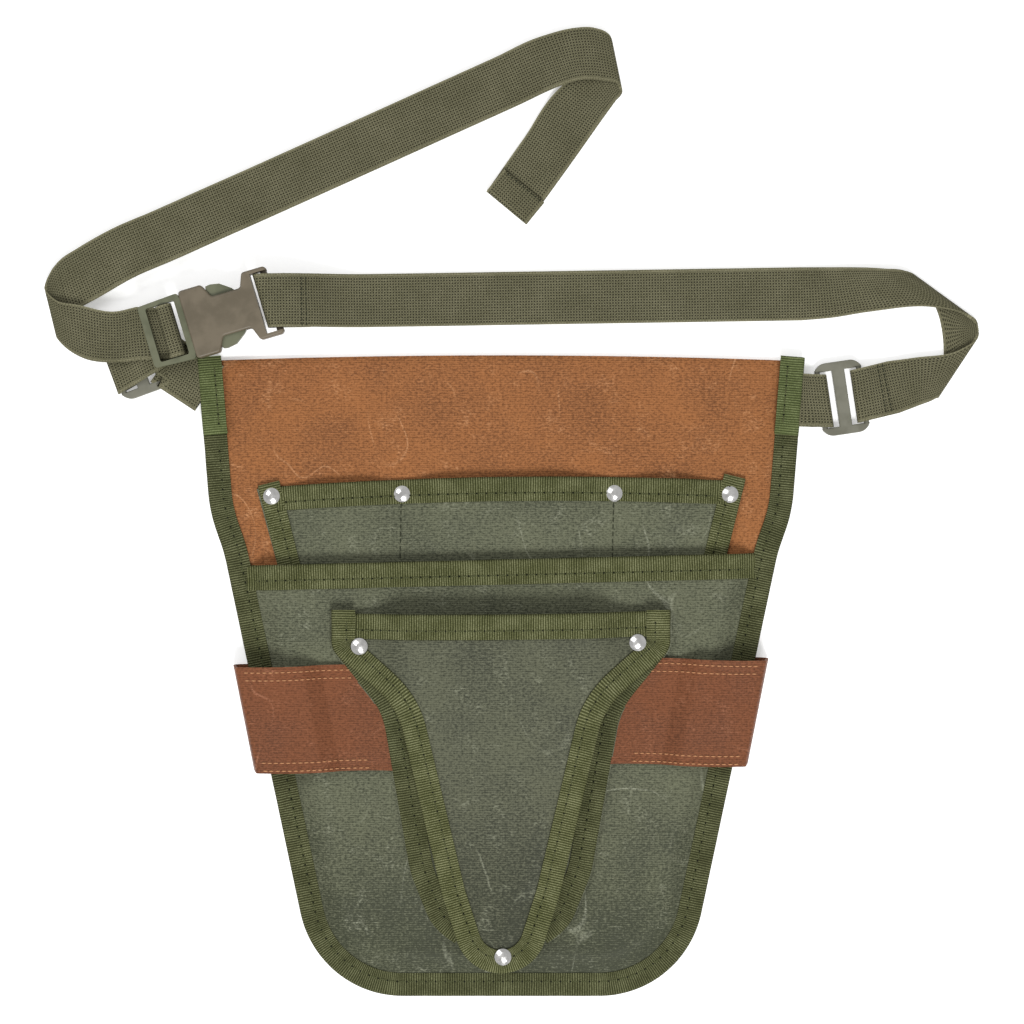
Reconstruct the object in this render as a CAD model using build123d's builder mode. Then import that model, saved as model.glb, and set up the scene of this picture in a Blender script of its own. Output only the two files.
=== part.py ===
"""Garden tool bag: a waxed-canvas belt bag lying on its back, with its webbing belt.

Millimetres. X runs across the bag, Y up the bag towards its belt, Z up from the floor.
The origin is under the middle of the whole outline.
"""

import os
from math import atan2, cos, degrees, hypot, radians, sin

from build123d import *

os.makedirs("parts", exist_ok=True)

# Cloth, tape and webbing.
CANVAS = 1.0
TAPE = 0.8
WEB = 1.5
WEB_WIDTH = 25.4
PLY_GAP = 0.1

# Levels, from the floor up.
BAG_Z = 1.0
BACK_Z = BAG_Z + TAPE
POCKET_Z = BACK_Z + CANVAS
UPPER_Z = 8.4
LOWER_Z = 9.0
LOWER_TOP = LOWER_Z + CANVAS
LOOP_Z = 15.0
EAR_Z = 12.7
MOUTH_Z = 22.0

# The bag's outline, symmetric about MID_X.
MID_X = -6.0
TOP_Y = 72.3
TOP_RISE = 3.0
BOTTOM_Y = -231.8
HALF_TOP = 145.4
HALF_MID = 139.5
HALF_STEP = 132.5
HALF_LOW = 87.6
STEP_Y = -20.0
BOTTOM_ROUND = 50.0
BINDING = 10.5
TAPE_JOINT_Y = 36.5

# The lower pocket's mouth and slopes.
LOWER_MOUTH_Y = -21.5
MOUTH_TAPE = 12.0
POCKET_SLOPE = 8.0

# The upper pocket: a mouth, two dividers and three compartments.
UPPER_MOUTH_Y = 15.0
UPPER_FOLD_Y = -8.0
UPPER_FLAT_Y = -20.5
UPPER_END_Y = -62.0
UPPER_HALF = 117.4
UPPER_LEAN = 9.0
DIVIDERS = (-53.3, 48.3)
DIVIDER_WIDTH = 11.0

# The holster.
HOLSTER_Y = -47.0
HOLSTER_TIP_Y = -219.4
TIP_ROUND = 22.0
SHOULDER_ROUND = 12.0
HIP_ROUND = 36.0
V_TAPE = 11.0
GUSSET_INSET = 3.5
GUSSET_END_Y = -205.0
OUTER_TAPE = 11.5

# The tool loops.
LOOP_Y = -74.0
LOOP_TALL = 50.0
LOOP_LEAN = 10.0

# Rivets: x, y, the height that each cap sits at and the height of its back washer.
RIVETS = (
    (-115.7, 7.6, POCKET_Z + CANVAS + TAPE, BACK_Z - 0.7),
    (103.6, 8.4, POCKET_Z + CANVAS + TAPE, BACK_Z - 0.7),
    (-53.3, 8.6, POCKET_Z + CANVAS + TAPE, BACK_Z - 0.7),
    (48.3, 8.9, POCKET_Z + CANVAS + TAPE, BACK_Z - 0.7),
    (-73.2, -63.8, EAR_Z + CANVAS + TAPE, LOWER_Z - 0.7),
    (59.0, -62.0, EAR_Z + CANVAS + TAPE, LOWER_Z - 0.7),
    (-5.0, -211.2, EAR_Z + CANVAS + TAPE + 0.6, LOWER_Z - 3.2),
)
RIVET_RADIUS = 4.0
POST_RADIUS = 1.2

# Plastic slides: three bars between two rails.
SLIDE_LONG = 35.0
SLIDE_WIDE = 23.6
SLIDE_THICK = 2.6
SLIDE_BAR_Z = 3.05
BAR_OFFSET = 10.0
SLIDE_BAR = 1.3
RIGHT_SLIDE = (157.2, 54.7, 8.4)
LEFT_SLIDE = (-181.5, 73.0, 20.0)

# The side-release buckle. Its own X runs from the joint between its halves to the socket's bar.
BUCKLE = (-154.9, 88.7, 16.6)
BUCKLE_Z = 11.5
SOCKET_LONG = 43.4
SOCKET_HALF = 16.6
SOCKET_THICK = 8.0
NECK_HALF = 9.8
WALL = 1.6
SOCKET_BAR_X = 41.7
SOCKET_BAR = 1.7
FRAME_LONG = 20.6
FRAME_THICK = 4.0
LADDER_BAR_X = -9.3
LADDER_BAR = 1.5
PRONG_THICK = 4.0

# Webbing routes: middle lines as x, y points, folded flat at each inner point.
RIGHT_FOLDS = ((212.3, 69.0), (205.5, 105.2))
TAIL_ROUTE = ((-207.0, 87.5), (-213.0, 111.0), (44.0, 218.0), (-2.6, 145.6))


def save(part, name):
    """Label a finished piece and write it."""
    part.part.label = name
    export_step(part.part, f"parts/{name}.step")


def turned(x, y, angle, z=0.0):
    """A plane at a point, turned about Z."""
    a = radians(angle)
    return Plane(origin=(x, y, z), x_dir=(cos(a), sin(a), 0), z_dir=(0, 0, 1))


def section_plane(point, heading):
    """An upright plane whose X is a heading on the floor and whose Y is up."""
    a = radians(heading)
    return Plane(origin=(point[0], point[1], 0), x_dir=(cos(a), sin(a), 0), z_dir=(sin(a), -cos(a), 0))


def along(frame, u, v=0.0):
    """A point given in a turned frame (x, y, angle)."""
    a = radians(frame[2])
    return (frame[0] + u * cos(a) - v * sin(a), frame[1] + u * sin(a) + v * cos(a))


def heading(start, end):
    return degrees(atan2(end[1] - start[1], end[0] - start[0]))


def mirrored(points):
    """Close a right-hand outline by its mirror about the bag's middle."""
    right = [(MID_X + half, y) for half, y in points]
    left = [(MID_X - half, y) for half, y in reversed(points)]
    return right + left


def outline(inset=0.0):
    """The bag's flat outline, drawn in by an inset."""
    with BuildSketch() as shape:
        side = ((HALF_TOP, TOP_Y), (HALF_MID, 0.0), (HALF_STEP, STEP_Y), (HALF_LOW, BOTTOM_Y))
        points = mirrored(side)
        with BuildLine():
            Polyline(points)
            ThreePointArc(points[-1], (MID_X, TOP_Y + TOP_RISE), points[0])
        make_face()
        fillet(shape.vertices().group_by(Axis.Y)[0], BOTTOM_ROUND)
        if inset:
            offset(amount=-inset, kind=Kind.INTERSECTION)
    return shape.sketch


def prism(sketch, low, high):
    """A sketch raised between two levels."""
    with BuildPart() as solid:
        with BuildSketch(Plane.XY.offset(low)):
            add(sketch)
        extrude(amount=high - low)
    return solid.part


def block(x0, x1, y0, y1, z0, z1):
    """A box between corners."""
    with BuildPart() as solid:
        with Locations(((x0 + x1) / 2, (y0 + y1) / 2, (z0 + z1) / 2)):
            Box(x1 - x0, y1 - y0, z1 - z0)
    return solid.part


def rivet_posts(low=0.0, high=60.0, radius=POST_RADIUS):
    """Round holes, or posts, at every rivet."""
    with BuildPart() as posts:
        for x, y, _, _ in RIVETS:
            with Locations((x, y, low)):
                Cylinder(radius, high - low, align=(Align.CENTER, Align.CENTER, Align.MIN))
    return posts.part


def lower_form(lift):
    """Everything under the lower pocket's surface, raised by a lift."""
    with BuildPart() as form:
        add(prism(outline(), 0, POCKET_Z + lift))
        with BuildSketch(Plane.XY.offset(POCKET_Z + lift)):
            add(outline(BINDING + 0.5))
        with BuildSketch(Plane.XY.offset(LOWER_Z + lift)):
            add(outline(BINDING + 0.5 + POCKET_SLOPE))
        loft(ruled=True)
    return form.part


def upper_form(lift):
    """Everything under the upper pocket's surface, raised by a lift."""
    low, high = POCKET_Z + lift, UPPER_Z + lift
    far = MID_X + UPPER_HALF
    near = MID_X - UPPER_HALF
    edges = [near + 12.0]
    for x in DIVIDERS:
        edges += [x - DIVIDER_WIDTH / 2, x + DIVIDER_WIDTH / 2]
    edges.append(far - 12.0)
    with BuildPart() as form:
        across = [(near - 20, 0), (near - 20, low)]
        for left, right in zip(edges[::2], edges[1::2]):
            across += [(left, low), (left + 7, high), (right - 7, high), (right, low)]
        across += [(far + 20, low), (far + 20, 0)]
        with BuildSketch(Plane.XZ.offset(-UPPER_MOUTH_Y)):
            Polygon(*across, align=None)
        extrude(amount=UPPER_MOUTH_Y - UPPER_END_Y)
        with BuildSketch(Plane.YZ.offset(near - 30)):
            Polygon(
                (UPPER_END_Y, 0),
                (UPPER_END_Y, low),
                (UPPER_FLAT_Y, low),
                (UPPER_FOLD_Y, high),
                (UPPER_MOUTH_Y, high),
                (UPPER_MOUTH_Y, 0),
                align=None,
            )
        extrude(amount=far - near + 60, mode=Mode.INTERSECT)
    return form.part


def upper_outline(inset=0.0):
    """The upper pocket's leaning outline."""
    low_half = UPPER_HALF - UPPER_LEAN * (UPPER_MOUTH_Y - UPPER_END_Y) / (UPPER_MOUTH_Y - UPPER_FLAT_Y)
    side = ((UPPER_HALF - inset, UPPER_MOUTH_Y), (low_half - inset, UPPER_END_Y))
    with BuildSketch() as shape:
        Polygon(*mirrored(side), align=None)
    return shape.sketch


def holster_form(lift):
    """Everything under the holster's front, raised by a lift: ears flat, middle standing proud."""
    low, high = EAR_Z + lift, MOUTH_Z + lift
    with BuildPart() as form:
        with BuildSketch(Plane.XZ.offset(-HOLSTER_Y)):
            side = ((96.0, 0), (96.0, low), (60.0, low), (47.0, high))
            Polygon(*mirrored(side), align=None)
        extrude(amount=HOLSTER_Y - HOLSTER_TIP_Y + 10)
        slope = atan2(MOUTH_Z - EAR_Z, HOLSTER_Y - HOLSTER_TIP_Y)
        roof = Plane(origin=(0, HOLSTER_TIP_Y, low), x_dir=(1, 0, 0), z_dir=(0, -sin(slope), cos(slope)))
        split(bisect_by=roof, keep=Keep.BOTTOM)
    return form.part


def v_outline(inset=0.0, mouth_y=HOLSTER_Y):
    """The V of the holster's front panel."""
    side = ((80.5, mouth_y), (80.5, -66.0), (48.0, -93.0), (27.0, -182.0), (17.0, HOLSTER_TIP_Y))
    with BuildSketch() as shape:
        Polygon(*mirrored(side), align=None)
        rows = shape.vertices().group_by(Axis.Y)
        fillet(rows[0], TIP_ROUND)
        rows = shape.vertices().filter_by_position(Axis.Y, -98.0, -88.0)
        fillet(rows, HIP_ROUND)
        rows = shape.vertices().filter_by_position(Axis.Y, -68.0, -64.0)
        fillet(rows, SHOULDER_ROUND)
        if inset:
            offset(amount=-inset, kind=Kind.INTERSECTION)
    return shape.sketch


def gusset_outline(inset=0.0):
    """The line where the holster's gussets are sewn down."""
    side = ((81.2, HOLSTER_Y), (81.2, -65.0), (57.5, -95.0), (41.5, -184.0), (20.0, -208.0))
    with BuildSketch() as shape:
        Polygon(*mirrored(side), align=None)
        rows = shape.vertices().filter_by_position(Axis.Y, -100.0, -90.0)
        fillet(rows, HIP_ROUND)
        rows = shape.vertices().filter_by_position(Axis.Y, -190.0, -180.0)
        fillet(rows, 24.0)
        if inset:
            offset(amount=-inset, kind=Kind.INTERSECTION)
    return shape.sketch


def ring(shape, width, low, high):
    """A band along the inside of an outline."""
    with BuildPart() as solid:
        add(prism(shape(), low, high))
        add(prism(shape(width), low - 1, high + 1), mode=Mode.SUBTRACT)
    return solid.part


# Back panel.
with BuildPart() as back_panel:
    add(prism(outline(TAPE), BACK_Z, BACK_Z + CANVAS))
    add(rivet_posts(), mode=Mode.SUBTRACT)
save(back_panel, "back_panel")

# Perimeter binding: one tape folded round the sides and the bottom. It is deeper where it
# also holds the lower pocket.
with BuildPart() as lower_tape:
    add(ring(outline, BINDING, BAG_Z, POCKET_Z + CANVAS + TAPE))
    add(prism(outline(TAPE), BACK_Z, POCKET_Z + CANVAS), mode=Mode.SUBTRACT)
    add(block(-200, 200, STEP_Y, 100, 0, 20), mode=Mode.SUBTRACT)
with BuildPart() as upper_tape:
    add(ring(outline, BINDING, BAG_Z, POCKET_Z + TAPE))
    add(prism(outline(TAPE), BACK_Z, POCKET_Z), mode=Mode.SUBTRACT)
    add(block(-200, 200, STEP_Y, TAPE_JOINT_Y, 0, 20), mode=Mode.INTERSECT)
with BuildPart() as perimeter_binding:
    add(lower_tape.part)
    add(upper_tape.part)
save(perimeter_binding, "perimeter_binding")


def webbing(plane_point, run_heading, bar_heading, points, radii, reach=None):
    """Webbing whose middle line runs in an upright plane, laid across at the bar's heading."""
    across = radians(bar_heading)
    if reach is None:
        reach = WEB_WIDTH / abs(sin(radians(bar_heading - run_heading)))
    start = (plane_point[0] - cos(across) * reach / 2, plane_point[1] - sin(across) * reach / 2)
    with BuildPart() as solid:
        with BuildSketch(section_plane(start, run_heading)) as section:
            with BuildLine():
                path = FilletPolyline(*points, radius=radii)
            trace(path, line_width=WEB)
        extrude(section.sketch, amount=reach, dir=(cos(across), sin(across), 0))
    return solid.part


def tab(slide, side, root):
    """A short webbing loop from the bag's edge round a slide's near bar."""
    bar = along(slide, -side * BAR_OFFSET)
    run = heading(bar, root)
    reach = hypot(root[0] - bar[0], root[1] - bar[1])
    mid = SLIDE_BAR + 0.2 + WEB / 2
    back = mid / abs(sin(radians(slide[2] + 90 - run)))
    low, high = POCKET_Z + WEB / 2, POCKET_Z + 1.5 * WEB + PLY_GAP
    points = (
        (reach, low),
        (6.5, low),
        (3.5, SLIDE_BAR_Z - mid),
        (-back, SLIDE_BAR_Z - mid),
        (-back, SLIDE_BAR_Z + mid),
        (2.0, SLIDE_BAR_Z + mid),
        (7.0, high),
        (reach, high),
    )
    radii = (1.0, 1.0, mid - 0.02, mid - 0.02, 2.0, 2.0)
    return webbing(bar, run, slide[2] + 90, points, radii, WEB_WIDTH)


# Belt tabs and the short bindings over their sewn ends.
LEFT_ROOT = (-139.5, 56.0)
RIGHT_ROOT = (129.0, 54.0)
for name, slide, side, root in (
    ("left_tab", LEFT_SLIDE, -1, LEFT_ROOT),
    ("right_tab", RIGHT_SLIDE, 1, RIGHT_ROOT),
):
    with BuildPart() as belt_tab:
        add(tab(slide, side, root))
    save(belt_tab, name)
    plies_top = POCKET_Z + 2 * WEB + PLY_GAP
    inner_x = MID_X + side * (HALF_TOP - BINDING - 1)
    with BuildPart() as upper_binding:
        add(ring(outline, BINDING + 0.5, BAG_Z, plies_top + TAPE))
        add(block(*sorted((inner_x, side * 200)), TAPE_JOINT_Y + 0.1, 100, 0, 20), mode=Mode.INTERSECT)
        add(prism(outline(TAPE), BACK_Z, POCKET_Z), mode=Mode.SUBTRACT)
        add(block(-200, 200, root[1] - 14, root[1] + 14, POCKET_Z, plies_top), mode=Mode.SUBTRACT)
        add(belt_tab.part, mode=Mode.SUBTRACT)
    side_name = "left" if side < 0 else "right"
    save(upper_binding, f"upper_{side_name}_binding")


def panel(form, shape, name):
    """One layer of canvas on a form, cut to an outline, with its rivet holes."""
    with BuildPart() as cloth:
        add(form(CANVAS))
        add(form(0.0), mode=Mode.SUBTRACT)
        add(prism(shape, 0, 60), mode=Mode.INTERSECT)
        add(rivet_posts(), mode=Mode.SUBTRACT)
    save(cloth, name)
    return cloth


def folded_tape(form, region, cloth, low=0.0):
    """A tape folded over a panel's edge: both its plies, within a region."""
    with BuildPart() as tape:
        add(form(CANVAS + TAPE))
        add(form(-TAPE), mode=Mode.SUBTRACT)
        add(region, mode=Mode.INTERSECT)
        if low:
            add(block(-250, 250, -250, 150, 0, low), mode=Mode.SUBTRACT)
        add(cloth.part, mode=Mode.SUBTRACT)
        add(rivet_posts(), mode=Mode.SUBTRACT)
    return tape


# Lower pocket: one panel, open at its mouth.
with BuildSketch() as lower_region:
    add(outline(TAPE))
    with Locations((MID_X, LOWER_MOUTH_Y - TAPE - 150)):
        Rectangle(400, 300, mode=Mode.INTERSECT)
lower_pocket_panel = panel(lower_form, lower_region.sketch, "lower_pocket_panel")
with BuildSketch() as mouth_region:
    add(outline(BINDING))
    with Locations((MID_X, LOWER_MOUTH_Y - MOUTH_TAPE / 2)):
        Rectangle(400, MOUTH_TAPE, mode=Mode.INTERSECT)
lower_pocket_top_binding = folded_tape(
    lower_form, prism(mouth_region.sketch, 0, 60), lower_pocket_panel, POCKET_Z + CANVAS
)
save(lower_pocket_top_binding, "lower_pocket_top_binding")

# Upper pocket: three compartments behind one panel, bound on three sides.
with BuildSketch() as upper_region:
    add(upper_outline(TAPE))
    with Locations((MID_X, UPPER_MOUTH_Y - TAPE - 100)):
        Rectangle(400, 200, mode=Mode.INTERSECT)
upper_pocket_panel = panel(upper_form, upper_region.sketch, "upper_pocket_panel")
SIDE_TOP = POCKET_Z + CANVAS + TAPE
TAPE_FOOT_Y = UPPER_MOUTH_Y - MOUTH_TAPE
for side_name, sign in (("left", -1), ("right", 1)):
    away = (-200, MID_X) if sign < 0 else (MID_X, 200)
    with BuildPart() as side_tape:
        add(prism(upper_outline(), POCKET_Z, SIDE_TOP))
        add(prism(upper_outline(V_TAPE), 0, 20), mode=Mode.SUBTRACT)
        add(block(*away, UPPER_FLAT_Y - 1, TAPE_FOOT_Y, 0, 20), mode=Mode.INTERSECT)
        add(upper_form(CANVAS), mode=Mode.SUBTRACT)
    with BuildPart() as edge_wall:
        add(prism(upper_outline(), POCKET_Z, SIDE_TOP))
        add(prism(upper_outline(TAPE), 0, 20), mode=Mode.SUBTRACT)
        add(block(*away, UPPER_FLAT_Y - 1, TAPE_FOOT_Y, 0, 20), mode=Mode.INTERSECT)
    with BuildPart() as side_binding:
        add(side_tape.part)
        add(edge_wall.part)
    save(side_binding, f"upper_pocket_{side_name}_binding")
LIP_Y = UPPER_MOUTH_Y - TAPE
UPPER_ENDS = (MID_X - UPPER_HALF, MID_X + UPPER_HALF)
with BuildPart() as front_ply:
    add(upper_form(CANVAS + TAPE))
    add(upper_form(CANVAS), mode=Mode.SUBTRACT)
    add(block(*UPPER_ENDS, TAPE_FOOT_Y, LIP_Y, 0, 60), mode=Mode.INTERSECT)
    add(rivet_posts(), mode=Mode.SUBTRACT)
with BuildPart() as mouth_wall:
    add(upper_form(CANVAS + TAPE))
    add(upper_form(0.0), mode=Mode.SUBTRACT)
    add(block(*UPPER_ENDS, LIP_Y, UPPER_MOUTH_Y, 0, 60), mode=Mode.INTERSECT)
with BuildPart() as upper_pocket_top_binding:
    add(front_ply.part)
    add(mouth_wall.part)
save(upper_pocket_top_binding, "upper_pocket_top_binding")

# Holster: a V-shaped front, gussets, and tapes on every edge.
holster_front_panel = panel(holster_form, v_outline(TAPE), "holster_front_panel")
v_tape = folded_tape(holster_form, ring(v_outline, V_TAPE, 0, 60), holster_front_panel)
with BuildPart() as holster_v_binding:
    add(v_tape.part)
    add(block(-200, 200, HOLSTER_Y - MOUTH_TAPE, 0, 0, 60), mode=Mode.SUBTRACT)
save(holster_v_binding, "holster_v_binding")
mouth_strip = block(MID_X - 81, MID_X + 81, HOLSTER_Y - MOUTH_TAPE, HOLSTER_Y, 0, 60)
holster_top_binding = folded_tape(holster_form, mouth_strip, holster_front_panel)
save(holster_top_binding, "holster_top_binding")
FLANGE_TOP = LOWER_TOP + CANVAS
WALL_OUTER = v_outline(GUSSET_INSET, HOLSTER_Y + 10)
WALL_INNER = v_outline(GUSSET_INSET + CANVAS, HOLSTER_Y + 10)
for side_name, sign in (("left", -1), ("right", 1)):
    away = (-200, MID_X - 5) if sign < 0 else (MID_X + 5, 200)
    with BuildPart() as gusset:
        add(prism(gusset_outline(TAPE), LOWER_TOP, FLANGE_TOP))
        add(prism(WALL_INNER, 0, 60), mode=Mode.SUBTRACT)
        add(block(*away, GUSSET_END_Y, HOLSTER_Y, 0, 60), mode=Mode.INTERSECT)
        add(rivet_posts(), mode=Mode.SUBTRACT)
    with BuildPart() as wall:
        add(prism(WALL_OUTER, LOWER_TOP, 60))
        add(prism(WALL_INNER, 0, 61), mode=Mode.SUBTRACT)
        add(holster_form(-TAPE - PLY_GAP), mode=Mode.INTERSECT)
        add(block(*away, HOLSTER_TIP_Y + 12, HOLSTER_Y - TAPE, 0, 60), mode=Mode.INTERSECT)
    with BuildPart() as holster_gusset:
        add(gusset.part)
        add(wall.part)
    save(holster_gusset, f"holster_{side_name}_gusset")
    with BuildPart() as outer_binding:
        add(ring(gusset_outline, OUTER_TAPE, LOWER_TOP, FLANGE_TOP + TAPE))
        add(block(*away, GUSSET_END_Y, HOLSTER_Y, 0, 60), mode=Mode.INTERSECT)
        add(prism(v_outline(GUSSET_INSET - 0.2), 0, 60), mode=Mode.SUBTRACT)
        add(holster_gusset.part, mode=Mode.SUBTRACT)
        add(rivet_posts(), mode=Mode.SUBTRACT)
    save(outer_binding, f"holster_{side_name}_outer_binding")

# Tool loops: canvas bands from the holster's edge round the bag's sides to its back.
for side_name, sign in (("left", -1), ("right", 1)):
    lean = atan2(LOOP_TALL, -sign * LOOP_LEAN)
    length = hypot(LOOP_TALL, LOOP_LEAN)
    with BuildPart() as loop:
        with BuildSketch(Plane.XZ.offset(-LOOP_Y)) as band:
            with BuildLine():
                route = FilletPolyline(
                    (MID_X + sign * 50, LOWER_TOP + CANVAS / 2),
                    (MID_X + sign * 86, LOWER_TOP + CANVAS / 2),
                    (MID_X + sign * 95, LOOP_Z + CANVAS / 2),
                    (MID_X + sign * 125.5, LOOP_Z + CANVAS / 2),
                    (MID_X + sign * 128.0, CANVAS / 2),
                    (MID_X + sign * 94, CANVAS / 2),
                    radius=(2.0, 2.0, 1.5, 0.8),
                )
            trace(route, line_width=CANVAS)
        extrude(band.sketch, amount=length, dir=(cos(lean), -sin(lean), 0))
        add(prism(gusset_outline(), LOWER_TOP - 1, 60), mode=Mode.SUBTRACT)
    save(loop, f"{side_name}_tool_loop")

# Rivets: domed caps in front, shanks with washers behind.
CAP_RISE = 1.7
CAP_SPHERE = 6.2
WASHER = 3.2
with BuildPart() as dome:
    Cylinder(RIVET_RADIUS, CAP_RISE, align=(Align.CENTER, Align.CENTER, Align.MIN))
    with Locations((0, 0, CAP_RISE - CAP_SPHERE)):
        Sphere(CAP_SPHERE, mode=Mode.INTERSECT)
with BuildPart() as rivet_caps:
    for x, y, cap_z, _ in RIVETS:
        with Locations((x, y, cap_z)):
            add(dome.part)
save(rivet_caps, "rivet_caps")
with BuildPart() as rivet_shanks:
    for x, y, cap_z, back_z in RIVETS:
        bottom = (Align.CENTER, Align.CENTER, Align.MIN)
        with Locations((x, y, back_z)):
            Cylinder(POST_RADIUS, cap_z - back_z, align=bottom)
            Cylinder(WASHER, 0.7, align=bottom)
save(rivet_shanks, "rivet_shanks")


def rod(frame, u, z, radius, reach):
    """A round bar lying across a turned frame."""
    x, y = along(frame, u, -reach)
    a = radians(frame[2] + 90)
    with BuildPart() as solid:
        with BuildSketch(Plane(origin=(x, y, z), x_dir=(0, 0, 1), z_dir=(cos(a), sin(a), 0))):
            Circle(radius)
        extrude(amount=2 * reach)
    return solid.part


# Slides.
RAIL = 4.0
CENTRE_BAR = 6.0
SLIDE_LOW = SLIDE_BAR_Z - SLIDE_THICK / 2
for name, frame in (("left_slide", LEFT_SLIDE), ("right_slide", RIGHT_SLIDE)):
    with BuildPart() as slide:
        with BuildSketch(turned(*frame, z=SLIDE_LOW)):
            RectangleRounded(SLIDE_WIDE, SLIDE_LONG, 6.0)
            Rectangle(SLIDE_WIDE + 2, SLIDE_LONG - 2 * RAIL, mode=Mode.SUBTRACT)
        extrude(amount=SLIDE_THICK)
        with BuildSketch(turned(*frame, z=SLIDE_LOW)):
            Rectangle(CENTRE_BAR, SLIDE_LONG - 2 * RAIL + 2)
        extrude(amount=SLIDE_THICK)
        chamfer(slide.faces().sort_by(Axis.Z)[-1].edges().filter_by(GeomType.LINE), 0.3)
        for u in (-BAR_OFFSET, BAR_OFFSET):
            add(rod(frame, u, SLIDE_BAR_Z, SLIDE_BAR, SLIDE_LONG / 2 - RAIL + 1))
    save(slide, name)

# Buckle socket: a flat sleeve with side windows and a webbing bar.
SOCKET_LOW = BUCKLE_Z - SOCKET_THICK / 2
SLOT_X = 35.1
SLOT_HALF = 14.7
CAVITY_HALF = 14.4
CAVITY_LONG = 29.5
NECK_X = (15.0, 29.0)
with BuildPart() as buckle_socket:
    with BuildSketch(turned(*BUCKLE, z=SOCKET_LOW)) as body:
        upper = (
            (0.0, SOCKET_HALF),
            (11.5, SOCKET_HALF),
            (NECK_X[0], NECK_HALF),
            (NECK_X[1], NECK_HALF),
            (31.6, SOCKET_HALF),
            (SOCKET_LONG, SOCKET_HALF),
        )
        Polygon(*upper, *[(u, -v) for u, v in reversed(upper)], align=None)
        fillet(body.vertices(), 1.8)
    extrude(amount=SOCKET_THICK)
    fillet(buckle_socket.faces().sort_by(Axis.Z)[-1].edges(), 1.1)
    fillet(buckle_socket.faces().sort_by(Axis.Z)[0].edges(), 1.1)
    with BuildSketch(turned(*BUCKLE, z=0)):
        with Locations((SLOT_X + 10, 0)):
            Rectangle(20, 2 * SLOT_HALF)
    extrude(amount=30, mode=Mode.SUBTRACT)
    with BuildSketch(turned(*BUCKLE, z=BUCKLE_Z - SOCKET_THICK / 2 + WALL)):
        with Locations((CAVITY_LONG / 2 - 1, 0)):
            Rectangle(CAVITY_LONG + 2, 2 * CAVITY_HALF)
    extrude(amount=SOCKET_THICK - 2 * WALL, mode=Mode.SUBTRACT)
    add(rod(BUCKLE, SOCKET_BAR_X, BUCKLE_Z, SOCKET_BAR, SLOT_HALF + 1))
save(buckle_socket, "buckle_socket")

# Buckle clip: ladder-lock frame, plug and guide tongue.
FRAME_LOW = BUCKLE_Z - FRAME_THICK / 2
WINDOW = (-17.2, -3.0)
WINDOW_HALF = 13.2
PLUG_LONG = 3.0
PLUG_HALF = 13.9
TONGUE_LONG = 27.0
TONGUE_HALF = 2.2
with BuildPart() as buckle_clip:
    with BuildSketch(turned(*BUCKLE, z=FRAME_LOW)) as body:
        Polygon((-0.3, 16.2), (-FRAME_LONG, 15.0), (-FRAME_LONG, -15.0), (-0.3, -16.2), align=None)
        fillet(body.vertices(), 1.5)
        with Locations(((WINDOW[0] + WINDOW[1]) / 2, 0)):
            RectangleRounded(WINDOW[1] - WINDOW[0], 2 * WINDOW_HALF, 1.0, mode=Mode.SUBTRACT)
    extrude(amount=FRAME_THICK)
    add(rod(BUCKLE, LADDER_BAR_X, BUCKLE_Z, LADDER_BAR, WINDOW_HALF + 1))
    with BuildSketch(turned(*BUCKLE, z=FRAME_LOW)):
        with Locations((PLUG_LONG / 2 - 0.5, 0)):
            Rectangle(PLUG_LONG + 1, 2 * PLUG_HALF)
        with Locations((TONGUE_LONG / 2, 0)):
            Rectangle(TONGUE_LONG, 2 * TONGUE_HALF)
    extrude(amount=FRAME_THICK)
save(buckle_clip, "buckle_clip")

# The clip's two prongs: rooted on the plug, their shoulders filling the socket's windows.
PRONG_SHAPE = (
    (3.2, 8.4),
    (14.0, 8.6),
    (27.5, 5.6),
    (28.3, 7.4),
    (25.0, 11.2),
    (20.0, 14.8),
    (15.5, 15.6),
    (13.2, 15.2),
    (13.0, 12.4),
    (3.2, 10.8),
)
for name, side in (("upper_prong", 1), ("lower_prong", -1)):
    with BuildPart() as prong:
        with BuildSketch(turned(*BUCKLE, z=BUCKLE_Z - PRONG_THICK / 2)) as body:
            Polygon(*[(u, side * v) for u, v in PRONG_SHAPE], align=None)
            fillet(body.vertices(), 0.5)
        extrude(amount=PRONG_THICK)
    save(prong, name)


# Webbing that lies flat: straight runs with mitred ends, joined along each fold.
LEVEL_A = 0.05
LEVEL_B = LEVEL_A + WEB + PLY_GAP


def flat_run(start, end, start_cut, end_cut, low):
    """One straight run between two fold or cut lines, given by their headings."""
    course = heading(start, end)
    corners = []
    for point, cut, sides in ((start, start_cut, (1, -1)), (end, end_cut, (-1, 1))):
        half = WEB_WIDTH / 2 / sin(radians(cut - course))
        for sign in sides:
            corners.append(
                (point[0] + sign * half * cos(radians(cut)), point[1] + sign * half * sin(radians(cut)))
            )
    with BuildPart() as solid:
        with BuildSketch(Plane.XY.offset(low)):
            Polygon(*corners, align=None)
        extrude(amount=WEB)
    return solid.part


def fold_line(before, point, after):
    """The heading of the crease that turns one course into the next."""
    return (heading(before, point) % 360 + heading(point, after) % 360) / 2


def crease(point, cut, course, low, high):
    """The turned edge where webbing folds back on itself."""
    half = abs(WEB_WIDTH / 2 / sin(radians(cut - course)))
    with BuildPart() as solid:
        with BuildSketch(turned(point[0], point[1], cut, low)):
            Rectangle(2 * half, WEB)
        extrude(amount=high - low)
    return solid.part


LOOP_MID = SLIDE_BAR + 0.2 + WEB / 2
LOOP_LOW = SLIDE_BAR_Z - LOOP_MID
LOOP_HIGH = SLIDE_BAR_Z + LOOP_MID

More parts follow.
